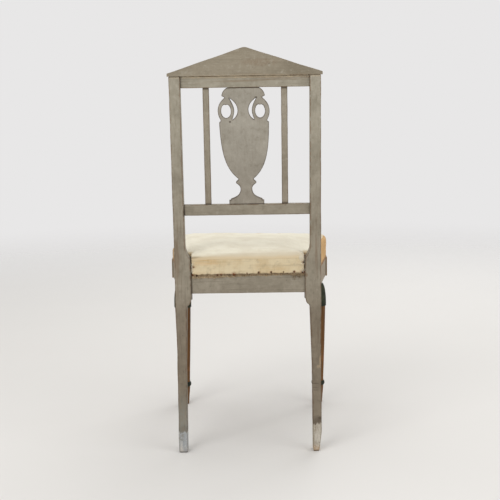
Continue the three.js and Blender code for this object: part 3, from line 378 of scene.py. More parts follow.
def paintedWood(name, grain, coat, foot=None, shift=0.0, jointGrimeAndShade=0.82):
    # old paint brushed along the grain, rubbed through at the edges, with grime and painted shade at the
    # joints
    looks = Looks(name)
    light, middle, streaks, thinness, bareEdges, edgeGrimeAndShade = coats[coat]
    x, y, z = looks.axes()
    edge, ends = looks.mark("edge"), looks.mark("ends")
    cloud = looks.noise(16.0, shift, 5.0, 0.6)
    blotch = looks.noise(85.0, shift + 8.1, 4.0, 0.62)
    streak = looks.noise(260.0, shift + 1.7, 5.0, 0.62, grains[grain])
    brush = looks.noise(900.0, shift + 4.1, 2.0, 0.5, grains[grain])
    speck = looks.noise(520.0, shift + 2.3, 3.0, 0.6)
    worn = looks.noise(34.0, shift + 6.6, 4.0, 0.6, grains[grain])
    ragged = looks.noise(70.0, shift + 9.2, 4.0, 0.65)
    thin = looks.ease(worn + streak * 0.35, 0.75, 0.88)
    colour = looks.mix(looks.ease(cloud, 0.32, 0.68), middle, light)
    colour = looks.layers(
        colour,
        (blotch, 0.50, 0.74, 0.42, paint["dark"]),
        (blotch, 0.46, 0.26, 0.35, paint["chip"]),
        (streak, 0.50, 0.74, streaks, paint["dark"]),
        (brush, 0.56, 0.75, 0.6 * streaks, paint["chip"]),
        (speck, 0.60, 0.74, 0.40, paint["dark"]),
        (speck, 0.38, 0.26, 0.40, paint["chip"]),
    )
    colour = looks.mix(thin * thinness, colour, paint["wood"])
    behind = looks.ease(y, 0.12, 0.16)
    for marks, tint, most in wornMarks:
        marked = looks.patches((x, z), marks)
        marked = looks.ease(marked * (0.35 + blotch + (speck - 0.5)), 0.25, 0.85) * behind
        colour = looks.mix(marked * most, colour, paint[tint])
    bare = looks.ease(edge * (ragged + 0.22), 0.62, 0.78)
    chips = looks.ease(looks.noise(150.0, shift + 3.9, 2.0, 0.5), 0.73, 0.77)
    # pale chips at the arrises, then grime along them that is also painted shade
    colour = looks.layers(
        colour,
        (edge * (1 - ragged), 0.52, 0.64, 0.7 * bareEdges, paint["chip"]),
        (edge * (0.6 + blotch * 0.6), 0.25, 1.0, edgeGrimeAndShade, paint["grimeAndShade"]),
    )
    colour = looks.mix(bare * bareEdges, colour, paint["wood"])
    colour = looks.mix(chips * 0.4, colour, paint["grimeAndShade"])
    # painted shade: the paint darkens lower down the chair, where less light falls
    paintedShadeShare = looks.ease(z, 0.80, 0.56) * 0.45 + looks.ease(z, 0.42, 0.30) * 0.55
    colour = looks.mix(paintedShadeShare, colour, paint["paintedShadeLow"], "MULTIPLY")
    # grime near the joints, partly painted shade where the parts meet, and the holes and knots
    grimeAndShade = looks.ease(ends * (0.5 + cloud), 0.30, 0.95)
    grimeAndShade = looks.patches((x, z), spots) * looks.ease(y, 0.17, 0.19) + grimeAndShade
    if grain == "across":
        # the joints at the sitter's right are filled with paint
        jointGrimeAndShade = jointGrimeAndShade * (1 - looks.ease(x, -90 * mm, -110 * mm) * 0.9)
    colour = looks.layers(colour, (grimeAndShade, 0.0, 1.0, jointGrimeAndShade, paint["grimeAndShade"]))
    height = streak * 0.5 + brush * 0.35 + speck * 0.25 - bare * 0.6 - thin * 0.3 - chips * 0.5
    if foot:
        bareTop, smudgeHeight, smudge, blueTop, tanned, pale, dull = feet[foot]
        level = z + (ragged - 0.5) * (16 * mm) + (streak - 0.5) * (18 * mm)
        footShare = looks.ease(level, bareTop + 2 * mm, bareTop - 2 * mm)
        footColour = looks.layers(
            looks.mix(looks.ease(worn * 0.6 + streak * 0.5, 0.44, 0.60), pale, dull),
            (z, 22 * mm, 6 * mm, tanned, paint["tan"]),
            (speck, 0.52, 0.68, 0.7, paint["footSpeck"]),
            (blotch, 0.54, 0.70, 0.55, paint["dark"]),
        )
        footColour = looks.mix(edge * 0.35, footColour, paint["dark"])
        near = looks.ease(level, smudgeHeight + 12 * mm, smudgeHeight) * (1 - footShare)
        blue = looks.ease(streak * 0.7 + blotch * 0.5, 0.50, 0.66) * 0.6 + 0.4
        blue = looks.ease(z, blueTop, smudgeHeight + 14 * mm) * blue
        colour = looks.mix(blue * 0.6, colour, paint["blue"])
        colour = looks.mix(near * (0.25 + blotch * 0.6) * smudge, colour, paint["grimeAndShade"])
        colour = looks.mix(footShare, colour, footColour)
        colour = looks.layers(colour, (z, 6 * mm, 0.0, 0.75, paint["grimeAndShade"]))
        height = height + footShare * (blotch + streak) * 0.6
    rough = 0.60 + streak * 0.18 - bare * 0.12
    return looks.finish(colour, rough, looks.bump(height, paint["relief"], 0.8), Specular_IOR_Level=0.35)


turning = {
    "head": tone(157, 143, 118),
    "headDark": tone(124, 117, 103),
    "green": tone(28, 34, 22),
    "greenLight": tone(54, 58, 38),
    "brown": tone(112, 74, 32),
    "brownDark": tone(72, 48, 24),
    "amber": tone(142, 92, 46),
    "foot": tone(110, 78, 48),
}


def turnedWood(name, bellLow, ringLow, ringHigh, headBase):
    # stained wood with old green and grey paint on the turnings, parted by height
    looks = Looks(name)
    z = looks.axes()[2]
    edge = looks.mark("edge")
    streak = looks.noise(240.0, 0.4, 5.0, 0.62, grains["up"])
    cloud = looks.noise(26.0, 2.8, 5.0, 0.6)
    speck = looks.noise(480.0, 5.1, 3.0, 0.6)
    level = z + (cloud - 0.5) * (5 * mm)
    brown = looks.mix(
        looks.ease(streak, 0.30, 0.62) * 0.8 + 0.2, turning["brownDark"], turning["brown"]
    )
    brown = looks.layers(brown, (cloud, 0.52, 0.68, 0.5, turning["amber"]))
    green = looks.mix(looks.ease(cloud + speck * 0.3, 0.55, 0.75), turning["green"], turning["greenLight"])
    head = looks.mix(looks.ease(streak, 0.42, 0.62), turning["headDark"], turning["head"])
    onRing = looks.ease(level, ringLow - 1 * mm, ringLow) * looks.ease(level, ringHigh + 1 * mm, ringHigh)
    onHead = looks.ease(level, headBase - 3 * mm, headBase - 1 * mm)
    bare = looks.ease(edge * (cloud + 0.25), 0.60, 0.80)
    colour = looks.mix(looks.ease(z, ringLow, ringLow - 8 * mm), brown, turning["foot"])
    colour = looks.mix(onRing, colour, green)
    colour = looks.mix(looks.ease(level, bellLow - 1 * mm, bellLow + 1 * mm), colour, green)
    colour = looks.mix(onHead, colour, head)
    colour = looks.mix(bare * 0.65, colour, turning["amber"])
    colour = looks.layers(colour, (speck, 0.64, 0.74, 0.4, turning["brownDark"]))
    rough = 0.50 + streak * 0.2 + onHead * 0.15
    height = streak * 0.5 + speck * 0.3 - bare * 0.4
    return looks.finish(colour, rough, looks.bump(height, 0.3 * mm, 0.8), Specular_IOR_Level=0.2)


bareWood = {"light": tone(186, 154, 108), "dark": tone(150, 116, 76), "grain": grains["across"]}


def sawnWood(name):
    # unfinished wood with saw marks across its grain
    looks = Looks(name)
    streak = looks.noise(190.0, 0.9, 5.0, 0.6, bareWood["grain"])
    pores = looks.noise(800.0, 3.3, 2.0, 0.5, bareWood["grain"])
    cloud = looks.noise(22.0, 7.2, 4.0, 0.6)
    colour = looks.layers(
        looks.mix(looks.ease(streak, 0.38, 0.66), bareWood["light"], bareWood["dark"]),
        (pores, 0.60, 0.72, 0.5, paint["grimeAndShade"]),
        (cloud, 0.50, 0.72, 0.45, paint["dark"]),
    )
    return looks.finish(colour, 0.78, looks.bump(streak * 0.6 + pores * 0.4, 0.4 * mm))


irons = {
    # iron, rust and pit colours, and how much of it is rusted
    "tack_iron": (tone(50, 40, 30), tone(106, 62, 30), tone(40, 28, 20), 0.7),
    "screw_steel": (tone(118, 114, 108), tone(112, 72, 46), tone(40, 28, 20), 0.3),
}


def oldIron(name):
    # dull iron, browned in patches
    looks = Looks(name)
    iron, rust, pits, share = irons[name]
    patchy = looks.noise(260.0, 1.3, 4.0, 0.65)
    fine = looks.noise(1500.0, 4.4, 2.0, 0.5)
    rusted = looks.ease(patchy, 0.62 - 0.3 * share, 0.72 - 0.3 * share)
    colour = looks.layers(looks.mix(rusted, iron, rust), (fine, 0.55, 0.75, 0.4, pits))
    bumps = looks.bump(patchy * 0.6 + fine * 0.4, 0.2 * mm)
    return looks.finish(colour, 0.42 + rusted * 0.4, bumps, Metallic=0.75 - rusted * 0.6)


# Cloth finishes

def weaveOf(looks, pitch):
    # threads over and under: two waves on the piece's own map, each strong where the other is weak
    u, v = looks.axes(looks.node("ShaderNodeUVMap", {"uv_map": "weave"}))[:2]
    waves = [looks.node("ShaderNodeMath", {"operation": "SINE"}, {0: way * (2 * math.pi / pitch)})
             for way in (u, v)]
    return u, v, waves[0] * waves[1]


def slubs(looks, u, v, pitch, shift):
    # uneven threads: noise drawn out along one way of the cloth and then the other
    vector = looks.node("ShaderNodeCombineXYZ", {}, {0: u, 1: v, 2: shift})
    along = looks.noise(1.0, shift, 2.0, 0.5, (0.04 / pitch, 1 / pitch, 1), vector)
    across = looks.noise(1.0, shift + 3.1, 2.0, 0.5, (1 / pitch, 0.04 / pitch, 1), vector)
    return along, across


calico = {
    "cream": tone(234, 228, 208),
    "shade": tone(224, 216, 195),
    # grubby cloth, also used as painted shade below the fold at the rear
    "grubby": tone(208, 195, 170),
    "stain": tone(206, 172, 128),
    "slub": tone(238, 234, 220),
    "lip": tone(214, 192, 154),
    # painted shade in the fold's groove, and a painted shadow along the crease
    "fold": tone(170, 150, 116),
    "crease": tone(92, 68, 40),
    # painted shadow in the gaps beside the rear posts
    "gap": tone(84, 62, 42),
    "pitch": 0.8 * mm,
    "slubPitch": 0.9 * mm,
    "relief": 0.22 * mm,
}
stains = [  # on the top near the front: middle (x, y) and half size in millimetres
    ((-30, -172), (16, 8), 1.0),
    ((-84, -176), (14, 7), 1.0),
]
# the whitened, frayed place beside the right post, in x and z
fluff = {"middle": (-127 * mm, 465 * mm), "reach": (11 * mm, 10 * mm), "colour": tone(246, 240, 226)}


def fluffed(looks, colour, x, y, z, blotch):
    pale = looks.patch((x, z), fluff["middle"], fluff["reach"]) * looks.ease(y, 0.17, 0.18)
    return looks.layers(colour, (pale * blotch * 1.7, 0.35, 0.9, 0.6, fluff["colour"]))


def calicoCloth():
    # cream calico, faint bands, grubbier and in painted shade below the fold at the rear, a few small stains
    looks = Looks("calico_cloth")
    x, y, z = looks.axes()
    u, v, weave = weaveOf(looks, calico["pitch"])
    along, across = slubs(looks, u, v, calico["slubPitch"], 0.6)
    cloud = looks.noise(14.0, 0.2)
    blotch = looks.noise(38.0, 5.7, 4.0, 0.6)
    colour = looks.layers(
        looks.mix(looks.ease(cloud, 0.36, 0.66), calico["cream"], calico["shade"]),
        (along, 0.55, 0.75, 0.35, calico["slub"]),
        (across, 0.55, 0.75, 0.30, calico["slub"]),
        (blotch, 0.56, 0.76, 0.30, calico["grubby"]),
    )
    # grubbier and in painted shade below the fold at the rear
    colour = looks.mix(looks.mark("grubby") * (0.55 + cloud * 0.5), colour, calico["grubby"])
    colour = looks.mix(looks.mark("lip") * 0.75, colour, calico["lip"])
    stained = looks.patches((x, y), stains) * (0.4 + blotch)
    colour = looks.layers(colour, (stained, 0.2, 1.0, 0.5, calico["stain"]))
    colour = fluffed(looks, colour, x, y, z, blotch)
    # painted shade in the fold's groove, a painted shadow along the crease by the left post, and painted
    # shadow in the gaps beside the posts
    for name, most in (("fold", 0.30), ("crease", 0.9), ("gap", 0.85)):
        colour = looks.mix(looks.mark(name) * most, colour, calico[name])
    bumps = looks.bump(weave * 0.4 + along * 0.6 + across * 0.6, calico["relief"], 0.7)
    return looks.finish(colour, 0.92, bumps, Specular_IOR_Level=0.15, Sheen_Weight=0.2, Sheen_Roughness=0.6)


scrim = {
    "tan": tone(216, 193, 152),
    "pale": tone(228, 211, 176),
    "orange": tone(211, 159, 85),
    "dust": tone(150, 140, 120),
    "hem": tone(112, 88, 60),
    "sideHem": tone(122, 66, 24),
    "grey": tone(186, 168, 134),
    "rust": tone(142, 90, 52),
    "thread": tone(232, 218, 188),
    "pitch": 1.3 * mm,
    "slubPitch": 1.4 * mm,
    "relief": 0.35 * mm,
    "warm": ((98 * mm, 456 * mm), (46 * mm, 12 * mm)),  # a warmer place behind, in x and z
    # a dusty one at the sitter's left front, in y and z
    "dusty": ((-145 * mm, place["frameTop"] - 4 * mm), (125 * mm, 46 * mm)),
}


def scrimCloth():
    # tan canvas, mottled and stained, more orange on the sides, dark and rust-marked at its tacks
    looks = Looks("scrim_cloth")
    x, y, z = looks.axes()
    u, v, weave = weaveOf(looks, scrim["pitch"])
    along, across = slubs(looks, u, v, scrim["slubPitch"], 2.6)
    cloud = looks.noise(30.0, 3.2, 4.0, 0.6)
    blotch = looks.noise(70.0, 8.7, 4.0, 0.6)
    flat = looks.node("ShaderNodeCombineXYZ", {}, {0: u, 1: v})
    band = looks.noise(1.0, 6.2, 3.0, 0.6, (9, 150, 1), flat)
    sides = looks.ease(y, place["postFront"] + 6 * mm, place["postFront"] - 6 * mm)
    front = looks.ease(y, -185 * mm, -200 * mm)
    warm = looks.patch((x, z), *scrim["warm"]) * (0.3 + cloud)
    warm = warm * 0.5 + sides * (0.95 - front * 0.35)
    cleaner = 0.5 - sides * 0.35
    colour = looks.layers(
        looks.mix(looks.ease(cloud, 0.36, 0.62), scrim["tan"], scrim["pale"]),
        (blotch, 0.52, 0.70, 0.5, scrim["grey"]),
        (warm, 0.0, 1.0, 0.85, scrim["orange"]),
        (band, 0.52, 0.72, cleaner, scrim["grey"]),
        (band, 0.44, 0.28, cleaner, scrim["thread"]),
        (along, 0.54, 0.74, cleaner * 0.8, scrim["thread"]),
        (across, 0.54, 0.74, 0.25, scrim["thread"]),
        (across, 0.42, 0.26, 0.2, scrim["grey"]),
    )
    colour = fluffed(looks, colour, x, y, z, blotch)
    dusty = looks.patch((y, z), *scrim["dusty"]) * (0.1 + blotch * 1.3)
    dusty = looks.ease(dusty, 0.0, 1.1) * looks.ease(x, 160 * mm, 205 * mm)
    colour = looks.mix(dusty * 0.65, colour, scrim["dust"])
    hemColour = looks.mix(sides, scrim["hem"], scrim["sideHem"])
    colour = looks.layers(
        colour,
        (looks.mark("hem") * (0.45 + blotch), 0.40, 1.0, 0.7, hemColour),
        (looks.mark("rust") * (0.6 + blotch), 0.25, 1.0, 0.6, scrim["rust"]),
    )
    # painted shadow in the gap beside the posts
    colour = looks.mix(looks.mark("gap") * 0.85, colour, calico["gap"])
    bumps = looks.bump(weave * 0.7 + along * 0.6 + across * 0.6, scrim["relief"], 0.9)
    return looks.finish(colour, 0.95, bumps, Specular_IOR_Level=0.1, Sheen_Weight=0.15, Sheen_Roughness=0.6)


jutes = {
    # light, dark and striped colours, the threads' pitch and how far they stand out
    "frayed_jute": (tone(128, 104, 76), tone(82, 62, 42), tone(198, 178, 146), 1.2 * mm, 0.02 * mm),
    "pale_thread": (tone(236, 226, 202), tone(222, 208, 178), tone(250, 246, 234), 1.0 * mm, 0.02 * mm),
    "web_jute": (tone(190, 164, 118), tone(150, 122, 82), tone(92, 58, 42), 1.6 * mm, 0.5 * mm),
    "base_jute": (tone(178, 152, 108), tone(132, 108, 74), None, 1.8 * mm, 0.5 * mm),
}


def juteCloth(name):
    # coarse tape, sacking or thread; the stripe's colour comes where the mark of that name is
    looks = Looks(name)
    light, dark, stripe, pitch, relief = jutes[name]
    u, v, weave = weaveOf(looks, pitch)
    along, across = slubs(looks, u, v, pitch, 4.4)
    cloud = looks.noise(24.0, 1.1, 4.0, 0.6)
    colour = looks.layers(
        looks.mix(looks.ease(cloud, 0.38, 0.62), light, dark),
        (along, 0.50, 0.72, 0.45, light),
        (across, 0.50, 0.28, 0.45, dark),
    )
    if stripe:
        colour = looks.mix(looks.mark("stripe") * 0.8, colour, stripe)
    bumps = looks.bump(weave + along * 0.5 + across * 0.5, relief, 1.0)
    return looks.finish(colour, 0.95, bumps, Specular_IOR_Level=0.1)


# Surfaces

def gridQuads(rows, cols, wrap):
    # each cell of a grid of points is a quad; wrap joins the last column to the first
    row = np.arange(rows - 1)[:, None] * cols
    col = np.arange(cols if wrap else cols - 1)[None, :]
    beside = (col + 1) % cols
    corners = [row + col, row + beside, row + cols + beside, row + cols + col]
    return np.stack(np.broadcast_arrays(*corners), axis=-1).reshape(-1, 4)


def closedStack(grid, marks=None):
    # loops stacked into a closed skin: quads between neighbours and one flat face over each end
    rows, cols = grid.shape[:2]
    first = np.arange(cols)[None, ::-1]
    last = np.arange(cols)[None, :] + (rows - 1) * cols
    faces = [(gridQuads(rows, cols, True), True), (first, False), (last, False)]
    return {"points": grid.reshape(-1, 3), "faces": faces, "marks": marks or {}, "uv": None}


def shellBetween(outer, inner, wrap, marks=None, uv=None):
    # two grids with a wall's thickness between them, joined round their edges
    rows, cols = outer.shape[:2]
    quads = gridQuads(rows, cols, wrap)
    count = rows * cols
    index = np.arange(count).reshape(rows, cols)
    borders = [index[0, ::-1], index[-1, :]]
    if not wrap:
        borders = [index[0, ::-1], index[-1, :], index[:, 0], index[::-1, -1]]
    faces = [(quads, True), (quads[:, ::-1] + count, True)]
    for line in borders:
        ahead = np.roll(line, -1) if wrap else line[1:]
        line = line if wrap else line[:-1]
        faces.append((joined(line, line + count, ahead + count, ahead), True))
    doubled = {key: np.tile(value.ravel(), 2) for key, value in (marks or {}).items()}
    points = np.concatenate([outer.reshape(-1, 3), inner.reshape(-1, 3)])
    flat = None if uv is None else np.concatenate([uv.reshape(-1, 2)] * 2)
    return {"points": points, "faces": faces, "marks": doubled, "uv": flat}


def makePiece(name, blocks, material, replaced=None):
    # joins the blocks into one mesh with their marks and their cloth map. The piece replaces the frame's
    # node of its own name, unless others or none are given.
    points = np.concatenate([block["points"] for block in blocks])
    starts = np.cumsum([0] + [len(block["points"]) for block in blocks])
    loops, sizes, smooth = [], [], []
    for start, block in zip(starts, blocks):
        for faces, isSmooth in block["faces"]:
            loops.append((faces + start).ravel())
            sizes.append(np.full(len(faces), faces.shape[1]))
            smooth.append(np.full(len(faces), isSmooth))
    loops, sizes, smooth = np.concatenate(loops), np.concatenate(sizes), np.concatenate(smooth)
    mesh = bpy.data.meshes.new(name)
    mesh.vertices.add(len(points))
    mesh.vertices.foreach_set("co", points.astype(np.float32).ravel())
    mesh.loops.add(len(loops))
    mesh.loops.foreach_set("vertex_index", loops.astype(np.int32))
    mesh.polygons.add(len(sizes))
    mesh.polygons.foreach_set("loop_start", (np.cumsum(sizes) - sizes).astype(np.int32))
    mesh.update(calc_edges=True)
    mesh.polygons.foreach_set("use_smooth", smooth)
    if blocks[0]["uv"] is not None:
        flat = np.concatenate([block["uv"] for block in blocks])
        layer = mesh.uv_layers.new(name="weave")
        layer.data.foreach_set("uv", flat[loops].astype(np.float32).ravel())
    for key in sorted({key for block in blocks for key in block["marks"]}):
        values = [np.broadcast_to(block["marks"].get(key, 0.0), len(block["points"])) for block in blocks]
        layer = mesh.attributes.new(key, "FLOAT", "POINT")
        layer.data.foreach_set("value", np.concatenate(values).astype(np.float32))
    if mesh.validate():
        print("mended mesh", name)
    mesh.materials.append(material)
    piece = bpy.data.objects.new(name, mesh)
    scene.collection.objects.link(piece)
    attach(piece, "root")
    if replaced is None:
        replaced = [name]
    if replaced:
        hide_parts(*replaced)
    return piece


def waver(run, seed, size, length):
    # the mean of six sines whose lengths and starts come from the seed
    draw = np.random.default_rng(seed)
    turns = draw.uniform(0.5, 2.4, 6) * 2 * np.pi / length
    starts = draw.uniform(0, 2 * np.pi, 6)
    return 2 * size * np.sin(np.asarray(run)[..., None] * turns + starts).mean(axis=-1)


def easeIn(value, low, high):
    share = np.clip((value - low) / (high - low), 0, 1)
    return share * share * (3 - 2 * share)


def wornRadii(arris, size, run, seed, length):
    # the radius of each corner along a bar: its arris and a waver of its own
    wavers = [np.abs(waver(run, seed + corner, size, length)) for corner in range(4)]
    return arris + np.stack(wavers, axis=-1)


def joined(*axes):
    # one value of each axis for each point; the axes spread to the same shape first
    return np.stack(np.broadcast_arrays(*axes), axis=-1)


def unit(ways):
    return ways / np.linalg.norm(ways, axis=-1, keepdims=True)


def leanBack(points):
    # from the leaning back's own frame, whose Z runs up its rear face, to the chair's
    x, y, along = points[..., 0], points[..., 1], points[..., 2]
    return joined(
        x,
        place["rearFace"] + y * math.cos(lean) + along * math.sin(lean),
        place["leanStart"] - y * math.sin(lean) + along * math.cos(lean)
    )


bars = {"arris": 0.8 * mm, "wear": 0.5 * mm, "wobble": 0.12 * mm, "support": 1.6 * mm, "steps": 4}


def barGrid(centre, across, deep, half, arris):
    # one loop for each station: a rectangle with round corners, whose radii are given corner by corner,
    # and a supporting point beside each end of each arc. across x deep is the way the stations run.
    signs = np.array([[1, 1], [-1, 1], [-1, -1], [1, -1]])
    turns = np.radians(np.arange(4)[:, None] * 90 + np.linspace(0, 90, bars["steps"] + 1))
    wheel = joined(np.cos(turns), np.sin(turns))
    middles = signs * (half[:, None, :] - arris[:, :, None])
    arcs = middles[:, :, None, :] + arris[:, :, None, None] * wheel
    leave, arrive = arcs[:, :, -1], np.roll(arcs[:, :, 0], -1, axis=1)
    gap = arrive - leave
    share = np.minimum(bars["support"] / np.maximum(np.linalg.norm(gap, axis=-1, keepdims=True), mm), 0.3)
    beside = np.stack([leave + gap * share, arrive - gap * share], axis=2)
    loop = np.concatenate([arcs, beside], axis=2).reshape(len(half), -1, 2)
    edge = np.tile([1.0] * (bars["steps"] + 1) + [0.0, 0.0], 4)
    points = centre[:, None, :] + loop[..., 0:1] * np.array(across) + loop[..., 1:2] * np.array(deep)
    return points, np.broadcast_to(edge, loop.shape[:2])


def barSkin(grid, edge, nearEnd):
    ends = np.broadcast_to(nearEnd[:, None], edge.shape)
    return closedStack(grid, {"edge": edge.ravel(), "ends": ends.ravel()})


def endRows(length, rounding, spacing):
    # stations along a bar, close together in the rounding of its ends, and how far each is drawn in
    turn = np.radians(np.linspace(0, 90, 4))
    run, inset = rounding * (1 - np.cos(turn)), rounding * (1 - np.sin(turn))
    count = max(int(length / spacing), 3)
    middle = np.linspace(rounding, length - rounding, count)[1:-1]
    along = np.concatenate([run, middle, length - run[::-1]])
    return along, np.concatenate([inset, np.zeros(len(middle)), inset[::-1]])


def bar(start, finish, across, deep, size, tenon=None, seed=0, rounding=0.6 * mm, grimeAndShadeReach=5 * mm):
    # a straight board from start to finish; a tenon, as (length, width, depth), runs past both ends
    start, finish = np.array(start), np.array(finish)
    length = np.linalg.norm(finish - start)
    way = (finish - start) / length
    along, inset = endRows(length, rounding, 5 * mm)
    half = np.array(size) / 2 - inset[:, None]
    wobble = [waver(along, seed + index, bars["wobble"], (0.09, 0.11)[index]) for index in (0, 1)]
    half = half + np.stack(wobble, axis=-1) * (inset[:, None] == 0)
    # darker near the ends: grime and painted shade at the joints
    nearEnd = np.exp(-np.minimum(along, length - along) / grimeAndShadeReach)
    if tenon:
        tongue = np.array(tenon[1:]) / 2
        lengths = [-tenon[0], -tenon[0] + mm, 0]
        along = np.concatenate([lengths, along, length - np.array(lengths[::-1])])
        tongues = np.stack([tongue - mm, tongue, tongue])
        half = np.concatenate([tongues, half, tongues[::-1]])
        nearEnd = np.concatenate([[1] * 3, nearEnd, [1] * 3])
    radii = wornRadii(bars["arris"], bars["wear"], along, seed + 10, 0.07)
    radii = np.minimum(radii, half.min(axis=-1, keepdims=True) * 0.8)
    grid, edge = barGrid(start + along[:, None] * way, across, deep, half, radii)
    return barSkin(grid, edge, nearEnd)


# Rear legs

rearLeg = {
    "depthAtSeat": 34 * mm, "depthAtTop": 24 * mm, "footDepth": 27 * mm, "footWidth": 21 * mm,
    "footInset": 1.5 * mm, "footSplay": 22 * mm, "splayStart": place["frameTop"] - 88 * mm, "splayPower": 1.6,
    "taperTop": 200 * mm, "outerTaperLow": 250 * mm, "leanReach": 40 * mm,
    "coveLow": place["frameTop"] + 25 * mm, "coveLength": 33 * mm,
    "lowerCoveTop": place["frameTop"] - 63 * mm, "lowerCoveLength": 23 * mm, "lowerCoveReach": 10.5 * mm,
    "top": 884.6 * mm, "arris": 1.3 * mm, "wear": 0.9 * mm, "wornWidth": 6 * mm, "wornHeight": 48 * mm,
    "footRounding": 4.5 * mm, "topRounding": np.array([0.9, 0.3, 0]) * mm,
}


def rearFaceAt(height):
    # splayed by a power below the seat, upright beside it, bent by a parabola and then straight
    bend = height - place["leanStart"] + rearLeg["leanReach"]
    slope = math.tan(lean)
    below = np.clip(1 - height / rearLeg["splayStart"], 0, 1)
    curved = slope * np.clip(bend, 0, None) ** 2 / (4 * rearLeg["leanReach"])
    straight = (height - place["leanStart"]) * slope
    leant = np.where(bend > 2 * rearLeg["leanReach"], straight, curved)
    return place["rearFace"] + rearLeg["footSplay"] * below ** rearLeg["splayPower"] + leant


def legDepthAt(height):
    bendTop = place["leanStart"] + rearLeg["leanReach"]
    return np.interp(
        height, [0, rearLeg["splayStart"], bendTop, rearLeg["top"]],
        [rearLeg["footDepth"], rearLeg["depthAtSeat"], rearLeg["depthAtSeat"], rearLeg["depthAtTop"]],
    )


def rearLegBlock(side, worn):
    # a plank: at each height a rectangle between the leg's inner and outer edge and its two faces. The
    # coves of the inner edge are parabolas, the sole is a quarter round, and one foot is worn outside.
    leg = rearLeg
    coveTop = leg["coveLow"] + leg["coveLength"]
    lowCoveBottom = leg["lowerCoveTop"] - leg["lowerCoveLength"]
    heights = np.concatenate([
        leg["footRounding"] * (1 - np.cos(np.linspace(0, np.pi / 2, 7))[:-1]),
        np.linspace(leg["footRounding"], lowCoveBottom - 0.3 * mm, 90),
        lowCoveBottom + leg["lowerCoveLength"] * (1 - np.linspace(1, 0, 12)) ** 2,
        np.linspace(leg["lowerCoveTop"], coveTop, 44)[1:],
        np.linspace(coveTop, leg["top"] - 2 * mm, 98)[1:],
        leg["top"] - leg["topRounding"],
    ])
    outerFoot = place["backHalf"] - leg["footInset"]
    innerFoot = outerFoot - leg["footWidth"]
    innerCove = place["seatPostInner"] + leg["lowerCoveReach"]
    outer = np.interp(heights, [leg["outerTaperLow"], lowCoveBottom], [outerFoot, place["backHalf"]])
    inner = np.interp(heights, [0, leg["taperTop"], lowCoveBottom - 0.3 * mm, lowCoveBottom],
                      [innerFoot, innerFoot, innerCove + 0.2 * mm, innerCove])
    low = np.clip((heights - lowCoveBottom) / leg["lowerCoveLength"], 0, 1)
    lowCove = place["seatPostInner"] + leg["lowerCoveReach"] * (1 - np.sqrt(low)) ** 2
    inner = np.where(heights >= lowCoveBottom, lowCove, inner)
    rise = np.clip((coveTop - heights) / leg["coveLength"], 0, 1)
    spread = place["postInner"] - place["seatPostInner"]
    inner = np.where(heights >= leg["coveLow"], place["postInner"] - spread * rise ** 2, inner)
    if worn:
        outer = outer - leg["wornWidth"] * np.clip(1 - heights / leg["wornHeight"], 0, 1)
    outer = outer + waver(heights, 40 + side, 0.25 * mm, 0.16)
    rear = rearFaceAt(heights) + waver(heights, 50 + side, 0.2 * mm, 0.2)
    front = rearFaceAt(heights) - legDepthAt(heights)
    intoFoot = np.clip(1 - heights / leg["footRounding"], 0, 1)
    roundFoot = leg["footRounding"] * (1 - np.sqrt(1 - intoFoot ** 2))
    roundTop = np.interp(heights, leg["top"] - leg["topRounding"], np.array([0.2, 0.7, 1.4]) * mm)
    inset = 0.8 * roundFoot + np.where(heights > leg["top"] - mm, roundTop, 0)
    half = joined((outer - inner) / 2, (rear - front) / 2) - inset[:, None]
    centre = joined(side * (outer + inner) / 2, (rear + front) / 2, heights)
    radii = wornRadii(leg["arris"], leg["wear"], heights, 60 + 7 * side, 0.1)
    grid, edge = barGrid(centre, (1, 0, 0), (0, 1, 0), half, radii)
    tilt = easeIn(heights, coveTop + 10 * mm, coveTop + 100 * mm)[:, None]
    grid[..., 2] += (rear[:, None] - grid[..., 1]) * math.tan(lean) * tilt
    return barSkin(grid, edge, np.exp((heights - leg["top"]) / (5 * mm)))


# The rails, slats and boards of the leaning back, in its own frame

back = {
    "board": 13 * mm, "railThickness": 16 * mm, "crossLow": 111.43 * mm, "crossHigh": 136.23 * mm,
    "crestLow": 404.33 * mm, "crestHigh": 430.63 * mm, "tenonLength": 17 * mm, "tenonThickness": 7 * mm,
    "tenonShoulder": 4 * mm, "gap": 0.3 * mm, "slatOffset": 89.1 * mm, "slatWidth": 14.2 * mm,
    "slatThickness": 12 * mm, "slatTenon": (9 * mm, 9.4 * mm, 6 * mm), "peak": 494.63 * mm,
    "pedimentOverhang": 3.6 * mm, "pedimentEnd": 6.6 * mm, "pedimentLip": 2 * mm, "pedimentDepth": 28 * mm,
    "pedimentArris": 0.6 * mm, "peakRounding": 7 * mm,
}


def leaning(block):
    block["points"] = leanBack(block["points"])
    return block


def backRail(low, high, seed):
    reach = place["postInner"] - back["gap"]
    middle = (low + high) / 2
    tenon = (back["tenonLength"], back["tenonThickness"], high - low - 2 * back["tenonShoulder"])
    return leaning(bar((-reach, -back["board"], middle), (reach, -back["board"], middle), (0, 1, 0),
                       (0, 0, 1), (back["railThickness"], high - low), tenon, seed))


def slatBlock(side, seed):
    x, y, size = side * back["slatOffset"], -back["board"], (back["slatWidth"], back["slatThickness"])
    start, finish = (x, y, back["crossHigh"] + back["gap"]), (x, y, back["crestLow"] - back["gap"])
    return leaning(bar(start, finish, (1, 0, 0), (0, 1, 0), size, back["slatTenon"], seed, 0.3 * mm, 7 * mm))


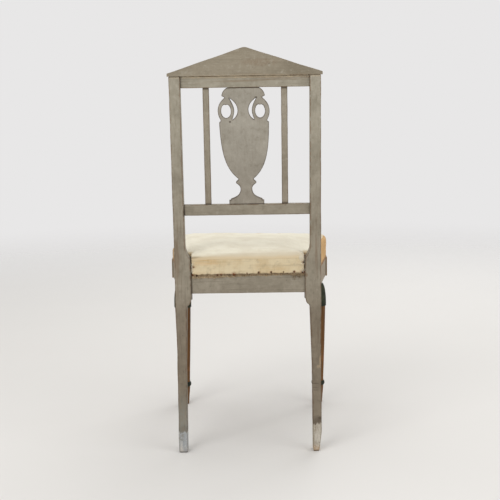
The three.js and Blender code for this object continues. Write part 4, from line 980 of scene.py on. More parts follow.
def curveThrough(steps, start, pitch):
    # lines and cubic curves, each step holding its controls and its end, as points a pitch apart
    runs, here = [], np.array(start)
    for step in steps:
        step = np.array(step)
        end = step[-1]
        reach = np.linalg.norm(np.diff(np.vstack([here, step]), axis=0), axis=1).sum()
        share = np.linspace(0, 1, max(int(reach / pitch), 1) + 1)[1:, None]
        if len(step) == 1:
            runs.append(here + (end - here) * share)
        else:
            rest = 1 - share
            runs.append(rest ** 3 * here + 3 * rest ** 2 * share * step[0]
                        + 3 * rest * share ** 2 * step[1] + share ** 3 * end)
        here = end
    return np.vstack(runs)


def fillLoops(lines, pitch, offsets):
    # triangles between closed lines, with points on a lattice and at set offsets inside the lines.
    # Gives the inner points, the triangles (line points first) and each inner point's distance to a line.
    rim = np.concatenate(lines)
    starts = np.cumsum([0] + [len(line) for line in lines])
    edges = np.concatenate([
        joined(np.arange(len(line)), np.roll(np.arange(len(line)), -1)) + start
        for line, start in zip(lines, starts)
    ])
    ahead = np.concatenate([np.roll(line, -1, axis=0) - np.roll(line, 1, axis=0) for line in lines])
    inwards = unit(joined(-ahead[:, 1], ahead[:, 0]))
    steps = [np.arange(low, high, pitch) for low, high in zip(rim.min(axis=0), rim.max(axis=0))]
    lattice = np.stack(np.meshgrid(*steps), axis=-1).reshape(-1, 2)
    inside = [(rim + inwards * offset)[index % 2::2] for index, offset in enumerate(offsets)] + [lattice]
    clear = [0.85 * offset for offset in offsets] + [1.5 * offsets[-1]]
    spots = np.concatenate(inside)
    least = np.repeat(clear, [len(part) for part in inside])
    away = np.linalg.norm(spots[:, None] - rim, axis=-1).min(axis=1)
    spots, away = spots[away > least], away[away > least]
    whole = np.concatenate([rim, spots])
    wholeHull, closeness = 0, 1e-7
    filled = geometry.delaunay_2d_cdt(whole.tolist(), edges.tolist(), [], wholeHull, closeness)
    origin = np.array([source[0] for source in filled[3]])
    triangles = origin[np.array(filled[2])]
    # a triangle is kept where a line run up from its middle crosses the edges an odd number of times
    middle = whole[triangles].mean(axis=1)[:, None]
    start, finish = rim[edges[:, 0]], rim[edges[:, 1]]
    spans = (start[:, 0] > middle[..., 0]) != (finish[:, 0] > middle[..., 0])
    with np.errstate(divide="ignore", invalid="ignore"):
        share = (middle[..., 0] - start[:, 0]) / (finish[:, 0] - start[:, 0])
        above = start[:, 1] + share * (finish[:, 1] - start[:, 1]) > middle[..., 1]
    triangles = triangles[(spans & above).sum(axis=1) % 2 == 1]
    used = np.zeros(len(whole), bool)
    used[triangles] = True
    used[: len(rim)] = True
    number = np.cumsum(used) - 1
    corners = whole[triangles]
    first, second = corners[:, 1] - corners[:, 0], corners[:, 2] - corners[:, 0]
    turned = first[:, 0] * second[:, 1] - first[:, 1] * second[:, 0] < 0
    triangles[turned] = triangles[turned][:, ::-1]
    kept = used[len(rim):]
    return spots[kept], number[triangles], away[kept]


def boardBlock(contours, rear, thickness, arris, seed, pitch):
    # a flat board with holes: each contour is walled, its arrises are quarter rounds drawn in along its
    # normals, and both faces are filled. The outer contour runs anticlockwise and the holes clockwise.
    turn = np.radians([0, 30, 60, 90, 90, 60, 30, 0])
    drop, depth = 1 - np.sin(turn), 1 - np.cos(turn)
    rowCount = len(turn)
    rearHalf = np.arange(rowCount)[:, None] < rowCount // 2
    points, faces, marks, rims, lines = [], [], [], [], []
    start = 0
    for number, line in enumerate(contours):
        ahead = unit(np.roll(line, -1, axis=0) - line)
        behind = np.roll(ahead, 1, axis=0)
        outwards = joined(ahead[:, 1] + behind[:, 1], -ahead[:, 0] - behind[:, 0])
        square = (outwards ** 2).sum(axis=1, keepdims=True)
        outwards = outwards * np.clip(2 / np.maximum(square, 0.5), 0.5, 1.4)
        run = np.linalg.norm(np.diff(line, axis=0, append=line[:1]), axis=1).cumsum()
        radius = arris + np.abs(waver(run, seed + number, 0.4 * mm, 0.05))
        rows = line[None] - (drop[:, None] * radius)[..., None] * outwards
        rounded = depth[:, None] * radius
        depths = np.where(rearHalf, -rounded, rounded - thickness)
        grid = joined(rows[..., 0], rear + depths, rows[..., 1])
        count = len(line)
        points.append(grid.reshape(-1, 3))
        faces.append((gridQuads(rowCount, count, True) + start, True))
        marks.append(np.ones(rowCount * count))
        rims.append(np.arange(count) + start)
        lines.append(rows[0])
        start += rowCount * count
    inner, triangles, away = fillLoops(lines, pitch, (1.0 * mm, 2.3 * mm))
    for last in (0, 1):
        ends = [rim + (rowCount - 1) * len(rim) * last for rim in rims]
        ends = np.concatenate(ends + [np.arange(len(inner)) + start])
        points.append(joined(inner[:, 0], rear - thickness * last, inner[:, 1]))
        marks.append(np.exp(-away / (1.2 * mm)))
        # both lines run anticlockwise in x and z, which is outwards for the front face
        faces.append((ends[triangles if last else triangles[:, ::-1]], False))
        start += len(inner)
    marks = {"edge": np.concatenate(marks)}
    return {"points": np.concatenate(points), "faces": faces, "marks": marks, "uv": None}


urn = {"width": 117.6 * mm, "piercingShift": 1.5 * mm, "topShift": 4.6 * mm, "footShift": -0.4 * mm,
       "thickness": 12 * mm, "tenon": (9 * mm, 30 * mm, 6 * mm), "arris": 0.5 * mm, "pitch": 1.6 * mm}
# One side from the foot up, as shares of half the width over the handles and of the height: each step
# holds a point, or a curve's two controls and its end.
urnFootShare = (0.689, 0)
urnOutlineShares = [
    [(0.689, 0.035)],
    [(0.62, 0.037)],
    [(0.62, 0.046)],
    [(0.333, 0.067), (0.23, 0.087), (0.23, 0.135)],
    [(0.23, 0.157), (0.303, 0.171), (0.398, 0.184)],
    [(0.398, 0.194)],
    [(0.328, 0.209), (0.293, 0.214), (0.293, 0.221)],
    [(0.808, 0.309), (0.94, 0.456), (0.966, 0.7)],
    [(0.966, 0.707)],
    [(0.907, 0.717)],
    [(0.907, 0.729)],
    [(1.03, 0.772), (1.08, 0.85), (0.775, 0.906)],
    [(0.725, 0.918)],
    [(0.838, 0.931)],
    [(0.82, 0.962), (0.745, 0.985), (0.61, 1)],
]
urnRingStartShare = (0.661, 0.7435)
urnRingShares = [
    [(0.766, 0.7435), (0.851, 0.769), (0.851, 0.801)],
    [(0.851, 0.835), (0.76, 0.868), (0.661, 0.853)],
    [(0.562, 0.868), (0.471, 0.835), (0.471, 0.801)],
    [(0.471, 0.769), (0.556, 0.7435), (0.661, 0.7435)],
]
urnCrescentTipShare = (0.53, 0.914)
urnCrescentShares = [
    [(0.092, 0.856), (0.151, 0.763), (0.43, 0.727)],
    [(0.31, 0.798), (0.291, 0.826), (0.53, 0.914)],
]


def urnPlace(shares, side):
    # shares across and up to places, on an axis that leans a little to one side
    shares = np.array(shares, dtype=float)
    low, high = back["crossHigh"] + back["gap"], back["crestLow"] - back["gap"]
    axis = urn["footShift"] + (urn["topShift"] - urn["footShift"]) * shares[..., 1]
    across = axis + side * shares[..., 0] * urn["width"] / 2
    return joined(across, low + (high - low) * shares[..., 1])


def urnLine(steps, start, side, shift=0.0):
    placed = [urnPlace(step, side) + [shift, 0] for step in steps]
    return curveThrough(placed, urnPlace(start, side) + [shift, 0], urn["pitch"])


def urnContours():
    # the outline runs anticlockwise and each piercing clockwise; the left ones come so as they are drawn
    right = urnLine(urnOutlineShares, urnFootShare, 1)
    left = urnLine(urnOutlineShares, urnFootShare, -1)[::-1]
    foot = [urnPlace(urnFootShare, side) for side in (-1, 1)]
    crown = curveThrough([[left[0]]], right[-1], urn["pitch"])[:-1]
    base = curveThrough([[foot[1]]], foot[0], urn["pitch"])
    contours = [np.vstack([right, crown, left, foot[:1], base])]
    for side in (1, -1):
        for steps, start in ((urnRingShares, urnRingStartShare), (urnCrescentShares, urnCrescentTipShare)):
            hole = urnLine(steps, start, side, urn["piercingShift"])
            ahead = np.roll(hole, -1, axis=0)
            clockwise = (hole[:, 0] * ahead[:, 1] - hole[:, 1] * ahead[:, 0]).sum() < 0
            contours.append(hole if clockwise else hole[::-1])
    return contours


def urnSplat():
    rear = urn["thickness"] / 2 - back["board"]
    board = boardBlock(urnContours(), rear, urn["thickness"], urn["arris"], 300, 6 * mm)
    height = board["points"][:, 2]
    toRail = np.minimum(height - back["crossHigh"], back["crestLow"] - height)
    board["marks"]["ends"] = np.exp(-np.clip(toRail, 0, None) / (3 * mm))
    blocks = [leaning(board)]
    length, width, depth = urn["tenon"]
    for x, rail in ((urn["topShift"], back["crestLow"]), (urn["footShift"], back["crossHigh"])):
        ends = [(x, -back["board"], rail + way * length) for way in (-1, 1)]
        blocks.append(leaning(bar(*ends, (1, 0, 0), (0, 1, 0), (width, depth), seed=310)))
    return blocks


def pedimentBlock():
    # a low triangle with short upright ends and a rounded peak
    half = place["backHalf"] + back["pedimentOverhang"]
    base = back["crestHigh"] + back["gap"]
    end = base + back["pedimentEnd"]
    slope = (back["peak"] - end) / half
    reach = back["peakRounding"]
    shoulder, control = back["peak"] - reach * slope, back["peak"] - reach * slope / 3
    steps = [[(half, base)], [(half, end)], [(reach, shoulder)],
             [(reach / 3, control), (-reach / 3, control), (-reach, shoulder)],
             [(-half, end)], [(-half, base)]]
    line = curveThrough(steps, [-half, base], 2.5 * mm)
    line[:, 1] += waver(line[:, 0], 330, 0.25 * mm, 0.2) * (line[:, 1] > base + mm)
    return leaning(boardBlock([line], back["pedimentLip"], back["pedimentDepth"], back["pedimentArris"], 331,
                              9 * mm))


# Seat rails

seatRail = {"thickness": 24 * mm, "rearInset": 14 * mm, "frontInset": 4.2 * mm, "tenonThickness": 9 * mm,
            "tenonHeight": 32 * mm, "tenonLength": 20 * mm, "gap": 0.3 * mm, "sideArris": 1.2 * mm,
            "sideWear": 0.7 * mm}
sideRear = place["backHalf"] - seatRail["rearInset"]
sideFront = place["headOuter"] - seatRail["frontInset"]
sideSlope = (sideFront - sideRear) / (place["postFront"] - place["headRear"])
sideAngle = math.atan(sideSlope)


def sideOuter(y):
    return sideRear + (place["postFront"] - y) * sideSlope


def straightRail(inner, y, low, seed):
    reach, high = inner - seatRail["gap"], place["frameTop"]
    middle = (low + high) / 2
    tenon = (seatRail["tenonLength"], seatRail["tenonThickness"], seatRail["tenonHeight"])
    return bar((-reach, y, middle), (reach, y, middle), (0, 1, 0), (0, 0, 1),
               (seatRail["thickness"], high - low), tenon, seed)


def sideRailBlock(side):
    # stations at equal steps of Y, so that both ends are cut in line with the post and the leg's head
    low, high = place["lowRailBottom"], place["frameTop"]
    rear, front = place["postFront"] - seatRail["gap"], place["headRear"] + seatRail["gap"]
    along, inset = endRows(rear - front, 0.6 * mm, 6 * mm)
    y = rear - along
    widthX = seatRail["thickness"] / math.cos(sideAngle)
    half = np.array([widthX, high - low]) / 2 - inset[:, None]
    centre = joined(side * (sideOuter(y) - widthX / 2), y, (low + high) / 2)
    radii = wornRadii(seatRail["sideArris"], seatRail["sideWear"], y, 400 + 9 * side, 0.09)
    grid, edge = barGrid(centre, (-1, 0, 0), (0, 0, 1), half, radii)
    return barSkin(grid, edge, np.exp(-np.minimum(along, along[::-1]) / (6 * mm)))


# Front legs

frontLeg = {
    "headOverhang": 1 * mm, "headFace": 51.4 * mm, "sideRebate": 4.5 * mm, "rebateCorner": 18 * mm,
    "footRadius": 20 * mm, "footDepth": 2.5 * mm, "throatRadius": 10 * mm, "throatDrop": 22 * mm,
    "bellRadius": 23.4 * mm, "bellLength": 64 * mm, "bellLip": 8 * mm, "bellPower": 0.8,
    "shaftTop": 21.2 * mm, "shaftBottom": 14.8 * mm, "collar": 7 * mm, "ringRadius": 18.2 * mm,
    "ringHeight": 57 * mm, "ringThickness": 12 * mm, "pegTop": 15 * mm, "pegFoot": 11 * mm, "sides": 72,
    "headRounding": 1.2 * mm, "headArris": 1.3 * mm, "headWear": 0.7 * mm,
}
headBottom = place["lowRailBottom"] - frontLeg["headOverhang"]
headFaceTop = headBottom + frontLeg["headFace"]
throatHeight = headBottom - frontLeg["throatDrop"]
bellBottom = throatHeight - frontLeg["bellLength"]
ringLow = frontLeg["ringHeight"] - frontLeg["ringThickness"] / 2
ringHigh = frontLeg["ringHeight"] + frontLeg["ringThickness"] / 2


def arcRows(radius, height, reach, rise, fromTurn, toTurn, count):
    # part of an ellipse in radius and height, between two angles in degrees
    turn = np.radians(np.linspace(fromTurn, toTurn, count))
    return joined(radius + reach * np.cos(turn), height + rise * np.sin(turn))


def turnedProfile():
    # peg foot, ring, tapered shaft, bell, throat and the cove under the head, as radius and height
    leg = frontLeg
    turn = np.linspace(0, np.pi / 2, 22)
    bellTop = bellBottom + leg["bellLip"]
    bell = joined(
        leg["throatRadius"] + (leg["bellRadius"] - leg["throatRadius"]) * np.cos(turn) ** leg["bellPower"],
        bellTop + (leg["bellLength"] - leg["bellLip"]) * np.sin(turn)
    )
    shaftHeights = np.linspace(ringHigh + leg["collar"], bellBottom - 3 * mm, 30)
    share = (shaftHeights - shaftHeights[0]) / (shaftHeights[-1] - shaftHeights[0])
    shaft = joined(leg["shaftBottom"] + (leg["shaftTop"] - leg["shaftBottom"]) * share
                   + 0.4 * mm * np.sin(np.pi * share), shaftHeights)
    half = leg["ringThickness"] / 2
    return np.vstack([
        [(0.5 * mm, 0), (leg["pegFoot"] - 1 * mm, 0)],
        arcRows(leg["pegFoot"] - 1 * mm, 1 * mm, 1 * mm, 1 * mm, -60, 0, 3),
        [(leg["pegFoot"] + 1.2 * mm, ringLow / 3), (leg["pegTop"] - 0.8 * mm, ringLow * 0.75),
         (leg["pegTop"], ringLow - 0.6 * mm), (leg["pegTop"] + 0.3 * mm, ringLow)],
        arcRows(leg["ringRadius"] - 3.2 * mm, leg["ringHeight"], 3.2 * mm, half, -85, 85, 13),
        [(leg["shaftBottom"] + 0.6 * mm, ringHigh), (leg["shaftBottom"] + 0.6 * mm, ringHigh + 2.6 * mm),
         (leg["shaftBottom"], ringHigh + 3.4 * mm)],
        shaft,
        [(leg["shaftTop"], bellBottom - 1 * mm), (leg["shaftTop"] + 0.4 * mm, bellBottom)],
        arcRows(leg["bellRadius"] - 1.5 * mm, bellBottom + 1.5 * mm, 1.5 * mm, 1.5 * mm, -90, 0, 5),
        arcRows(leg["bellRadius"] - 1.0 * mm, bellTop - 1.5 * mm, 1.0 * mm, 1.5 * mm, 0, 60, 4),
        bell[:-1],
        [(leg["throatRadius"], throatHeight), (leg["throatRadius"], headBottom - 3 * leg["footDepth"])],
        arcRows(leg["footRadius"], headBottom - 3 * leg["footDepth"], leg["throatRadius"] - leg["footRadius"],
                2 * leg["footDepth"], 0, 88, 8)[1:],
        [(leg["footRadius"], headBottom - leg["footDepth"]), (leg["footRadius"], headBottom + 2 * mm),
         (0.5 * mm, headBottom + 2 * mm)],
    ])


def frontLegBlocks(side):
    # a lathe turns the profile round the leg's axis; the head is a squared block with a stepped top
    profile = turnedProfile()
    turn = np.linspace(0, 2 * np.pi, frontLeg["sides"], endpoint=False)
    x = side * (place["headOuter"] + place["headInner"]) / 2
    y = (place["front"] + place["headRear"]) / 2
    radius, height = profile[:, :1], profile[:, 1:]
    grid = joined(x + radius * np.cos(turn), y + radius * np.sin(turn), height)
    steps = np.linalg.norm(np.diff(profile, axis=0, prepend=profile[:1]), axis=1)
    sharp = (profile[:, 0] > np.roll(profile[:, 0], 2) + 0.8 * mm) & (steps < 3 * mm)
    turned = closedStack(grid, {"edge": np.repeat(sharp * 0.8, len(turn))})

    rounding = frontLeg["headRounding"]
    quarter = np.radians([0, 30, 60, 90])
    up, inset = rounding * (1 - np.cos(quarter)), rounding * (1 - np.sin(quarter))
    body = np.linspace(headBottom + rounding, headFaceTop - rounding, 10)[1:-1]
    heights = np.concatenate([headBottom + up, body, headFaceTop - up[::-1],
                              [headFaceTop, headFaceTop + 4 * mm, place["frameTop"] - mm, place["frameTop"]]])
    insets = np.concatenate([inset, 0 * body, inset[::-1], [0, 0, 0, mm]])
    top = np.arange(len(heights)) >= len(heights) - 4
    outer = np.where(top, place["headOuter"] - frontLeg["sideRebate"], place["headOuter"]) - insets
    inner = place["headInner"] + insets
    front = np.where(top, place["frontRailFace"], place["front"]) + insets
    rear = place["headRear"] - insets
    half = joined(outer - inner, rear - front) / 2
    centre = joined(side * (outer + inner) / 2, (front + rear) / 2, heights)
    radii = wornRadii(frontLeg["headArris"], frontLeg["headWear"], heights, 500 + side, 0.04)
    outerFront = 3 if side > 0 else 2
    radii[top, outerFront] = frontLeg["rebateCorner"]
    head, onEdge = barGrid(centre, (1, 0, 0), (0, 1, 0), half, radii)
    return [turned, closedStack(head, {"edge": onEdge.ravel()})]


# Pegs show as small heads that stand a little out of the paint

pegs = {"radius": 3 * mm, "sunk": 3 * mm, "sides": 24}


def pegBlock(node, axis, way):
    # a short domed rod at the peg's place, along the axis that it was driven in from
    low, high = boxOf(node)
    centre = (low + high) / 2
    face = high[axis] if way > 0 else low[axis]
    others = [other for other in range(3) if other != axis]
    turn = np.linspace(0, 2 * np.pi, pegs["sides"], endpoint=False) * way * (-1 if axis == 1 else 1)
    radius = pegs["radius"] * np.array([0.96, 1.0, 1.0, 0.86, 0.6, 0.2])
    depth = np.array([-pegs["sunk"], -pegs["sunk"] + 0.3 * mm, 0.1 * mm, 0.28 * mm, 0.34 * mm, 0.36 * mm])
    grid = [face + way * (0.4 * mm + depth[:, None])] * 3
    grid[others[0]] = centre[others[0]] + radius[:, None] * np.cos(turn)
    grid[others[1]] = centre[others[1]] + radius[:, None] * np.sin(turn)
    edge = np.repeat([0, 0, 1, 0.4, 0, 0], len(turn))
    return closedStack(joined(*grid), {"edge": edge})


# The stuffed seat

seat = {
    "gap": 0.3 * mm, "cover": 1.5 * mm, "postEase": 1.6 * mm, "cornerReach": 16 * mm, "hemTurn": 6 * mm,
    "stuffingLow": 4.6 * mm, "shoulder": 28 * mm, "shoulderRadius": 11 * mm, "shoulderTurn": 72,
    "crown": 49 * mm, "crownPower": 2.2, "bulge": 0.8 * mm, "sideHem": -26.2 * mm, "rearHem": -10.6 * mm,
    "borderThickness": 1.1 * mm, "rearEdge": 22.4 * mm, "sideEdge": 39.6 * mm,
    "sag": 3.6 * mm, "rightSag": 3.4 * mm, "cornerSag": 0.8 * mm, "rearHemTilt": 0.6 / 130, "leftTuck": 0.036,
}
stuffingLow = place["frameTop"] + seat["stuffingLow"]
shoulderStart = place["frameTop"] + seat["shoulder"]
crownTop = place["frameTop"] + seat["crown"]
wallRun = shoulderStart - stuffingLow
shoulderTurn = math.radians(seat["shoulderTurn"])
rimRun = wallRun + seat["shoulderRadius"] * shoulderTurn
crownRun = 190 * mm
foldFront = 120 * mm
seatMiddle = np.array([0, (place["frontRailInner"] + place["rearRailInner"]) / 2])


def stretch(start, end, count):
    share = np.linspace(0, 1, count, endpoint=False)[:, None]
    return start + (end - start) * share


def turnPast(before, corner, after, reach, count):
    # a quadratic curve past a corner, from its reach before it to its reach after it
    start = corner + (before - corner) / np.linalg.norm(before - corner) * reach
    end = corner + (after - corner) / np.linalg.norm(after - corner) * reach
    share = np.linspace(0, 1, count, endpoint=False)[:, None]
    curve = (1 - share) ** 2 * start + 2 * share * (1 - share) * corner + share ** 2 * end
    return start, curve, end


def seatRim(free, tight):
    # the seat's plan from the middle of its front edge, anticlockwise: lines between corners that are
    # rounded by curves. The first value draws in the edges over the rails, the second those at the posts.
    frontY = place["frontRailFace"] - seat["gap"] + free
    rearY = place["rearRailFace"] + seat["gap"] - free
    headX = place["headOuter"] - frontLeg["sideRebate"] + seat["gap"] - free
    outwards = (seat["gap"] - free) / math.cos(sideAngle)
    bend = np.array([sideOuter(place["headRear"]) + outwards, place["headRear"]])
    notchY = place["postFront"] - seat["gap"] - tight
    notchX = place["seatPostInner"] - seat["postEase"] - tight
    frontStart = np.array([0.0, frontY])
    corners = [np.array([headX, frontY]), bend, np.array([sideOuter(notchY) + outwards, notchY]),
               np.array([notchX, notchY]), np.array([notchX, rearY])]
    reaches = [seat["cornerReach"], 20 * mm, 3 * mm, 3 * mm, 4 * mm]
    counts = [(46, 12), (6, 8), (74, 5), (5, 5), (6, 6)]
    finish = np.array([0.0, rearY])
    line, here = [], frontStart
    stops = [frontStart] + corners + [finish]
    for index, (straight, bent) in enumerate(counts):
        start, curve, end = turnPast(*stops[index:index + 3], reaches[index], bent)
        line += [stretch(here, start, straight), curve]
        here = end
    line.append(stretch(here, finish, 33))
    half = np.vstack(line + [finish[None]])
    other = half[1:-1][::-1] * [-1, 1]
    return np.vstack([half, other])


rimBase = seatRim(-seat["cover"], 0)
rimFree = (seatRim(mm - seat["cover"], 0) - rimBase) / mm
rimTight = (seatRim(-seat["cover"], mm) - rimBase) / mm
rimSteps = np.linalg.norm(np.diff(rimBase, axis=0, append=rimBase[:1]), axis=1)
rimAround = np.concatenate([[0], rimSteps.cumsum()[:-1]])
onRear = rimBase[:, 1] > place["postFront"] + 10 * mm
rearShare = easeIn(rimBase[:, 1], place["postFront"] + 2 * mm, place["postFront"] + 24 * mm)


def swellAt(height):
    # how far the side bulges at a height, by half a sine
    return seat["bulge"] * np.sin(np.pi * np.clip((height - place["frameTop"]) / seat["shoulder"], 0, 1))


def seatPoint(travel, lift, settle=0.0):
    # travel runs up the wall, round the shoulder through its turn, and over the crown to the middle;
    # lift stands out of the surface. The crown falls by a power of the share of the way to the rim.
    wall = np.minimum(travel, wallRun)
    turn = np.clip((travel - wallRun) / seat["shoulderRadius"], 0, shoulderTurn)
    share = 1 - np.clip((travel - rimRun) / crownRun, 0, 1)
    reach = seat["shoulderRadius"] + lift
    inset = seat["shoulderRadius"] - reach * np.cos(turn)
    height = stuffingLow + wall + reach * np.sin(turn)
    flat = rimBase + (inset[..., None] * (rimFree + rimTight)) - swellAt(height)[..., None] * rimFree
    flat = seatMiddle + (flat - seatMiddle) * share[..., None]
    rimHeight = shoulderStart + reach * math.sin(shoulderTurn)
    top = crownTop - settle + lift
    height = np.where(share < 1, top - (top - rimHeight) * share ** seat["crownPower"], height)
    # the stuffing has sunk towards the front, and most at the sitter's right
    sunk = seat["sag"] + seat["rightSag"] * easeIn(-flat[..., 0], -110 * mm, 120 * mm)
    sunk = sunk + seat["cornerSag"] * easeIn(-flat[..., 0], 150 * mm, 205 * mm)
    sunk = sunk * easeIn(-flat[..., 1], -70 * mm, 110 * mm)
    height = height - sunk * easeIn(height, shoulderStart - 14 * mm, shoulderStart + 8 * mm)
    # and the sitter's left front is drawn in, by a share of the way to the middle
    tuck = seat["leftTuck"] * easeIn(-flat[..., 1], -40 * mm, 90 * mm)
    tuck = tuck * easeIn(height, place["frameTop"] - 1 * mm, place["frameTop"] + 5 * mm) * (flat[..., 0] > 0)
    flat = flat * joined(1 - tuck, 1)
    return np.concatenate([flat, height[..., None]], axis=-1)


def gridNormals(grid):
    # the cross product of the steps round the loops and across them
    around = np.roll(grid, -1, axis=1) - np.roll(grid, 1, axis=1)
    up = np.gradient(grid, axis=0)
    normal = np.cross(around, up)
    return normal / np.maximum(np.linalg.norm(normal, axis=-1, keepdims=True), 1e-12)


# how far up the border goes under the calico: low behind, over the shoulder elsewhere
edgeTravel = seat["sideEdge"] + (seat["rearEdge"] - seat["sideEdge"]) * easeIn(
    rimBase[:, 1], place["postFront"] - 8 * mm, place["postFront"] + 6 * mm
)
edgeTravel = edgeTravel + waver(rimAround, 600, 0.7 * mm, 0.09)
# the fold in the calico that climbs away from the sitter's left, as x and travel
foldX = np.array([-175, -140, -99, -53, -5, 41, 88, 131, 140]) * mm
foldTravel = np.array([44, 43.5, 42.5, 41, 38.5, 33.5, 26.5, 23.6, 23.6]) * mm
foldDepth = np.array([0.0, 0.0, 0.1, 0.2, 0.35, 0.6, 1.1, 1.9, 1.9]) * mm
foldSoftness = np.array([10, 10, 9, 9, 8, 6.5, 4.5, 2.4, 2.0]) * mm
creaseWidth = 1.5 * mm


def postGapShadow(grid):
    # painted shadow in the gap beside a rear post: 1 against the post, falling off exponentially away from it
    toPost = place["seatPostInner"] - np.abs(grid[..., 0])
    return np.exp(-np.clip(toPost - 2 * mm, 0, None) / (1.1 * mm)) * (grid[..., 1] > place["postFront"])


def padRows():
    # travel and lift of each loop: up inside the border, out and down behind the calico's hem,
    # round its edge, up over it and on to the middle
    inside = -(seat["borderThickness"] + 0.7 * mm)
    below = [edgeTravel * share for share in (0, 0.2, 0.4, 0.6, 0.8, 0.93)]
    rows = [(travel, inside) for travel in below]
    rows += [(edgeTravel + offset * mm, lift * mm) for offset, lift in (
        (0.3, inside / mm), (0.3, 0.12), (-1.2, 0.12), (-2.7, 0.13), (-3.0, 0.24), (-2.8, 0.40), (-1.4, 0.48),
        (0.6, 0.46), (3.2, 0.34), (6.2, 0.18), (9.6, 0.06), (13.2, 0.0),
    )]
    start = edgeTravel + 13.2 * mm
    end = rimRun + crownRun * 0.985
    rows += [(start + (end - start) * share, 0.0) for share in np.linspace(0, 1, 46)[1:]]
    travel = np.stack([row[0] for row in rows])
    lift = np.stack([np.full(travel.shape[1], row[1]) for row in rows])
    return travel, lift


cloth = {"voxel": 6 * mm, "pressure": 4.0, "frames": 20, "cap": 4 * mm, "start": 2.2 * mm}


def finishedPoints(piece):
    # the vertices of a piece with its modifiers on
    vertices = piece.evaluated_get(bpy.context.evaluated_depsgraph_get()).data.vertices
    points = np.empty(len(vertices) * 3, np.float32)
    vertices.foreach_get("co", points)
    return points.reshape(-1, 3)


def settledTop(grid, material):
    # a copy of the pad is remeshed and blown up as cloth, with its sides held; the fine grid is then
    # drawn on to it, and each point moves by no more than the cap
    draft = makePiece("seat_draft", [padBlock(grid)], material, [])
    proxy = bpy.data.objects.new("seat_proxy", draft.data.copy())
    scene.collection.objects.link(proxy)
    remesh = proxy.modifiers.new("remesh", "REMESH")
    remesh.mode = "VOXEL"
    remesh.voxel_size = cloth["voxel"]
    proxy.data = bpy.data.meshes.new_from_object(proxy.evaluated_get(bpy.context.evaluated_depsgraph_get()))
    proxy.modifiers.clear()
    rest = finishedPoints(proxy)
    held = proxy.vertex_groups.new(name="held")
    held.add(np.flatnonzero(rest[:, 2] < shoulderStart + 1 * mm).tolist(), 1.0, "REPLACE")
    blown = proxy.modifiers.new("cloth", "CLOTH")
    blown.settings.quality = 5
    blown.settings.use_pressure = True
    blown.settings.uniform_pressure_force = cloth["pressure"]
    blown.settings.vertex_group_mass = "held"
    blown.settings.effector_weights.gravity = 0
    blown.collision_settings.use_collision = False
    blown.point_cache.frame_end = cloth["frames"]
    for number in range(1, cloth["frames"] + 1):
        scene.frame_set(number)
    step = finishedPoints(proxy) - rest
    reach = np.linalg.norm(step, axis=1, keepdims=True)
    step = step * np.minimum(1, cloth["cap"] / np.maximum(reach, 1e-9))
    print("cloth moved by up to", round(float(reach.max()) / mm, 2), "mm")
    proxy.modifiers.clear()
    scene.frame_set(1)
    proxy.data.vertices.foreach_set("co", (rest + step).ravel())
    wrap = draft.modifiers.new("wrap", "SHRINKWRAP")
    wrap.target = proxy
    wrap.wrap_method = "PROJECT"
    wrap.use_negative_direction = True
    wrap.project_limit = 2 * cloth["cap"]
    wrapped = finishedPoints(draft)[: grid.shape[0] * grid.shape[1]].reshape(grid.shape)
    for piece in (draft, proxy):
        data = piece.data
        bpy.data.objects.remove(piece)
        bpy.data.meshes.remove(data)
    return wrapped


def padBlock(grid, marks=None, uv=None):
    # the loops, closed by fans: one to the crown's middle and one under the pad
    rows, cols = grid.shape[:2]
    top, bottom = grid[-1].mean(axis=0), grid[0].mean(axis=0)
    points = np.concatenate([grid.reshape(-1, 3), top[None], bottom[None]])
    ring = np.arange(cols)
    ahead = np.roll(ring, -1)
    last = (rows - 1) * cols
    topFan = joined(last + ring, last + ahead, rows * cols)
    bottomFan = joined(ahead, ring, rows * cols + 1)
    faces = [(gridQuads(rows, cols, True), True), (topFan, True), (bottomFan, False)]
    marks = {key: np.append(value.ravel(), [0, 0]) for key, value in (marks or {}).items()}
    if uv is not None:
        uv = np.concatenate([uv.reshape(-1, 2), uv[-1].mean(axis=0)[None], uv[0].mean(axis=0)[None]])
    return {"points": points, "faces": faces, "marks": marks, "uv": uv}


def puckers(grid, travel):
    # pulls that run in from the hem, folds that fan from the post corners, and lumps in the stuffing
    fromEdge = np.clip(travel - edgeTravel, 0, None)
    around = np.broadcast_to(rimAround, travel.shape)
    pull = waver(around, 610, 0.5 * mm, 0.022) * np.exp(-fromEdge / (16 * mm)) * easeIn(fromEdge, 0, 4 * mm)
    lumps = waver(grid[..., 0], 620, 0.8 * mm, 0.11) + waver(grid[..., 1], 621, 0.8 * mm, 0.10)
    lumps = lumps + waver(grid[..., 0] + grid[..., 1], 622, 0.6 * mm, 0.07)
    fans = np.zeros(travel.shape)
    for side, seed in ((1, 630), (-1, 631)):
        corner = np.array([side * (place["seatPostInner"] - 6 * mm), place["postFront"] - 6 * mm])
        away = grid[..., :2] - corner
        distance = np.linalg.norm(away, axis=-1)
        angle = np.arctan2(away[..., 1], away[..., 0])
        fan = waver(angle, seed, 1.1 * mm, 0.5) * np.exp(-distance / (46 * mm))
        fans += fan * easeIn(distance, 0, 12 * mm)
    inner = easeIn(fromEdge, 8 * mm, 40 * mm)
    return pull + fans * easeIn(fromEdge, 2 * mm, 14 * mm) + lumps * inner


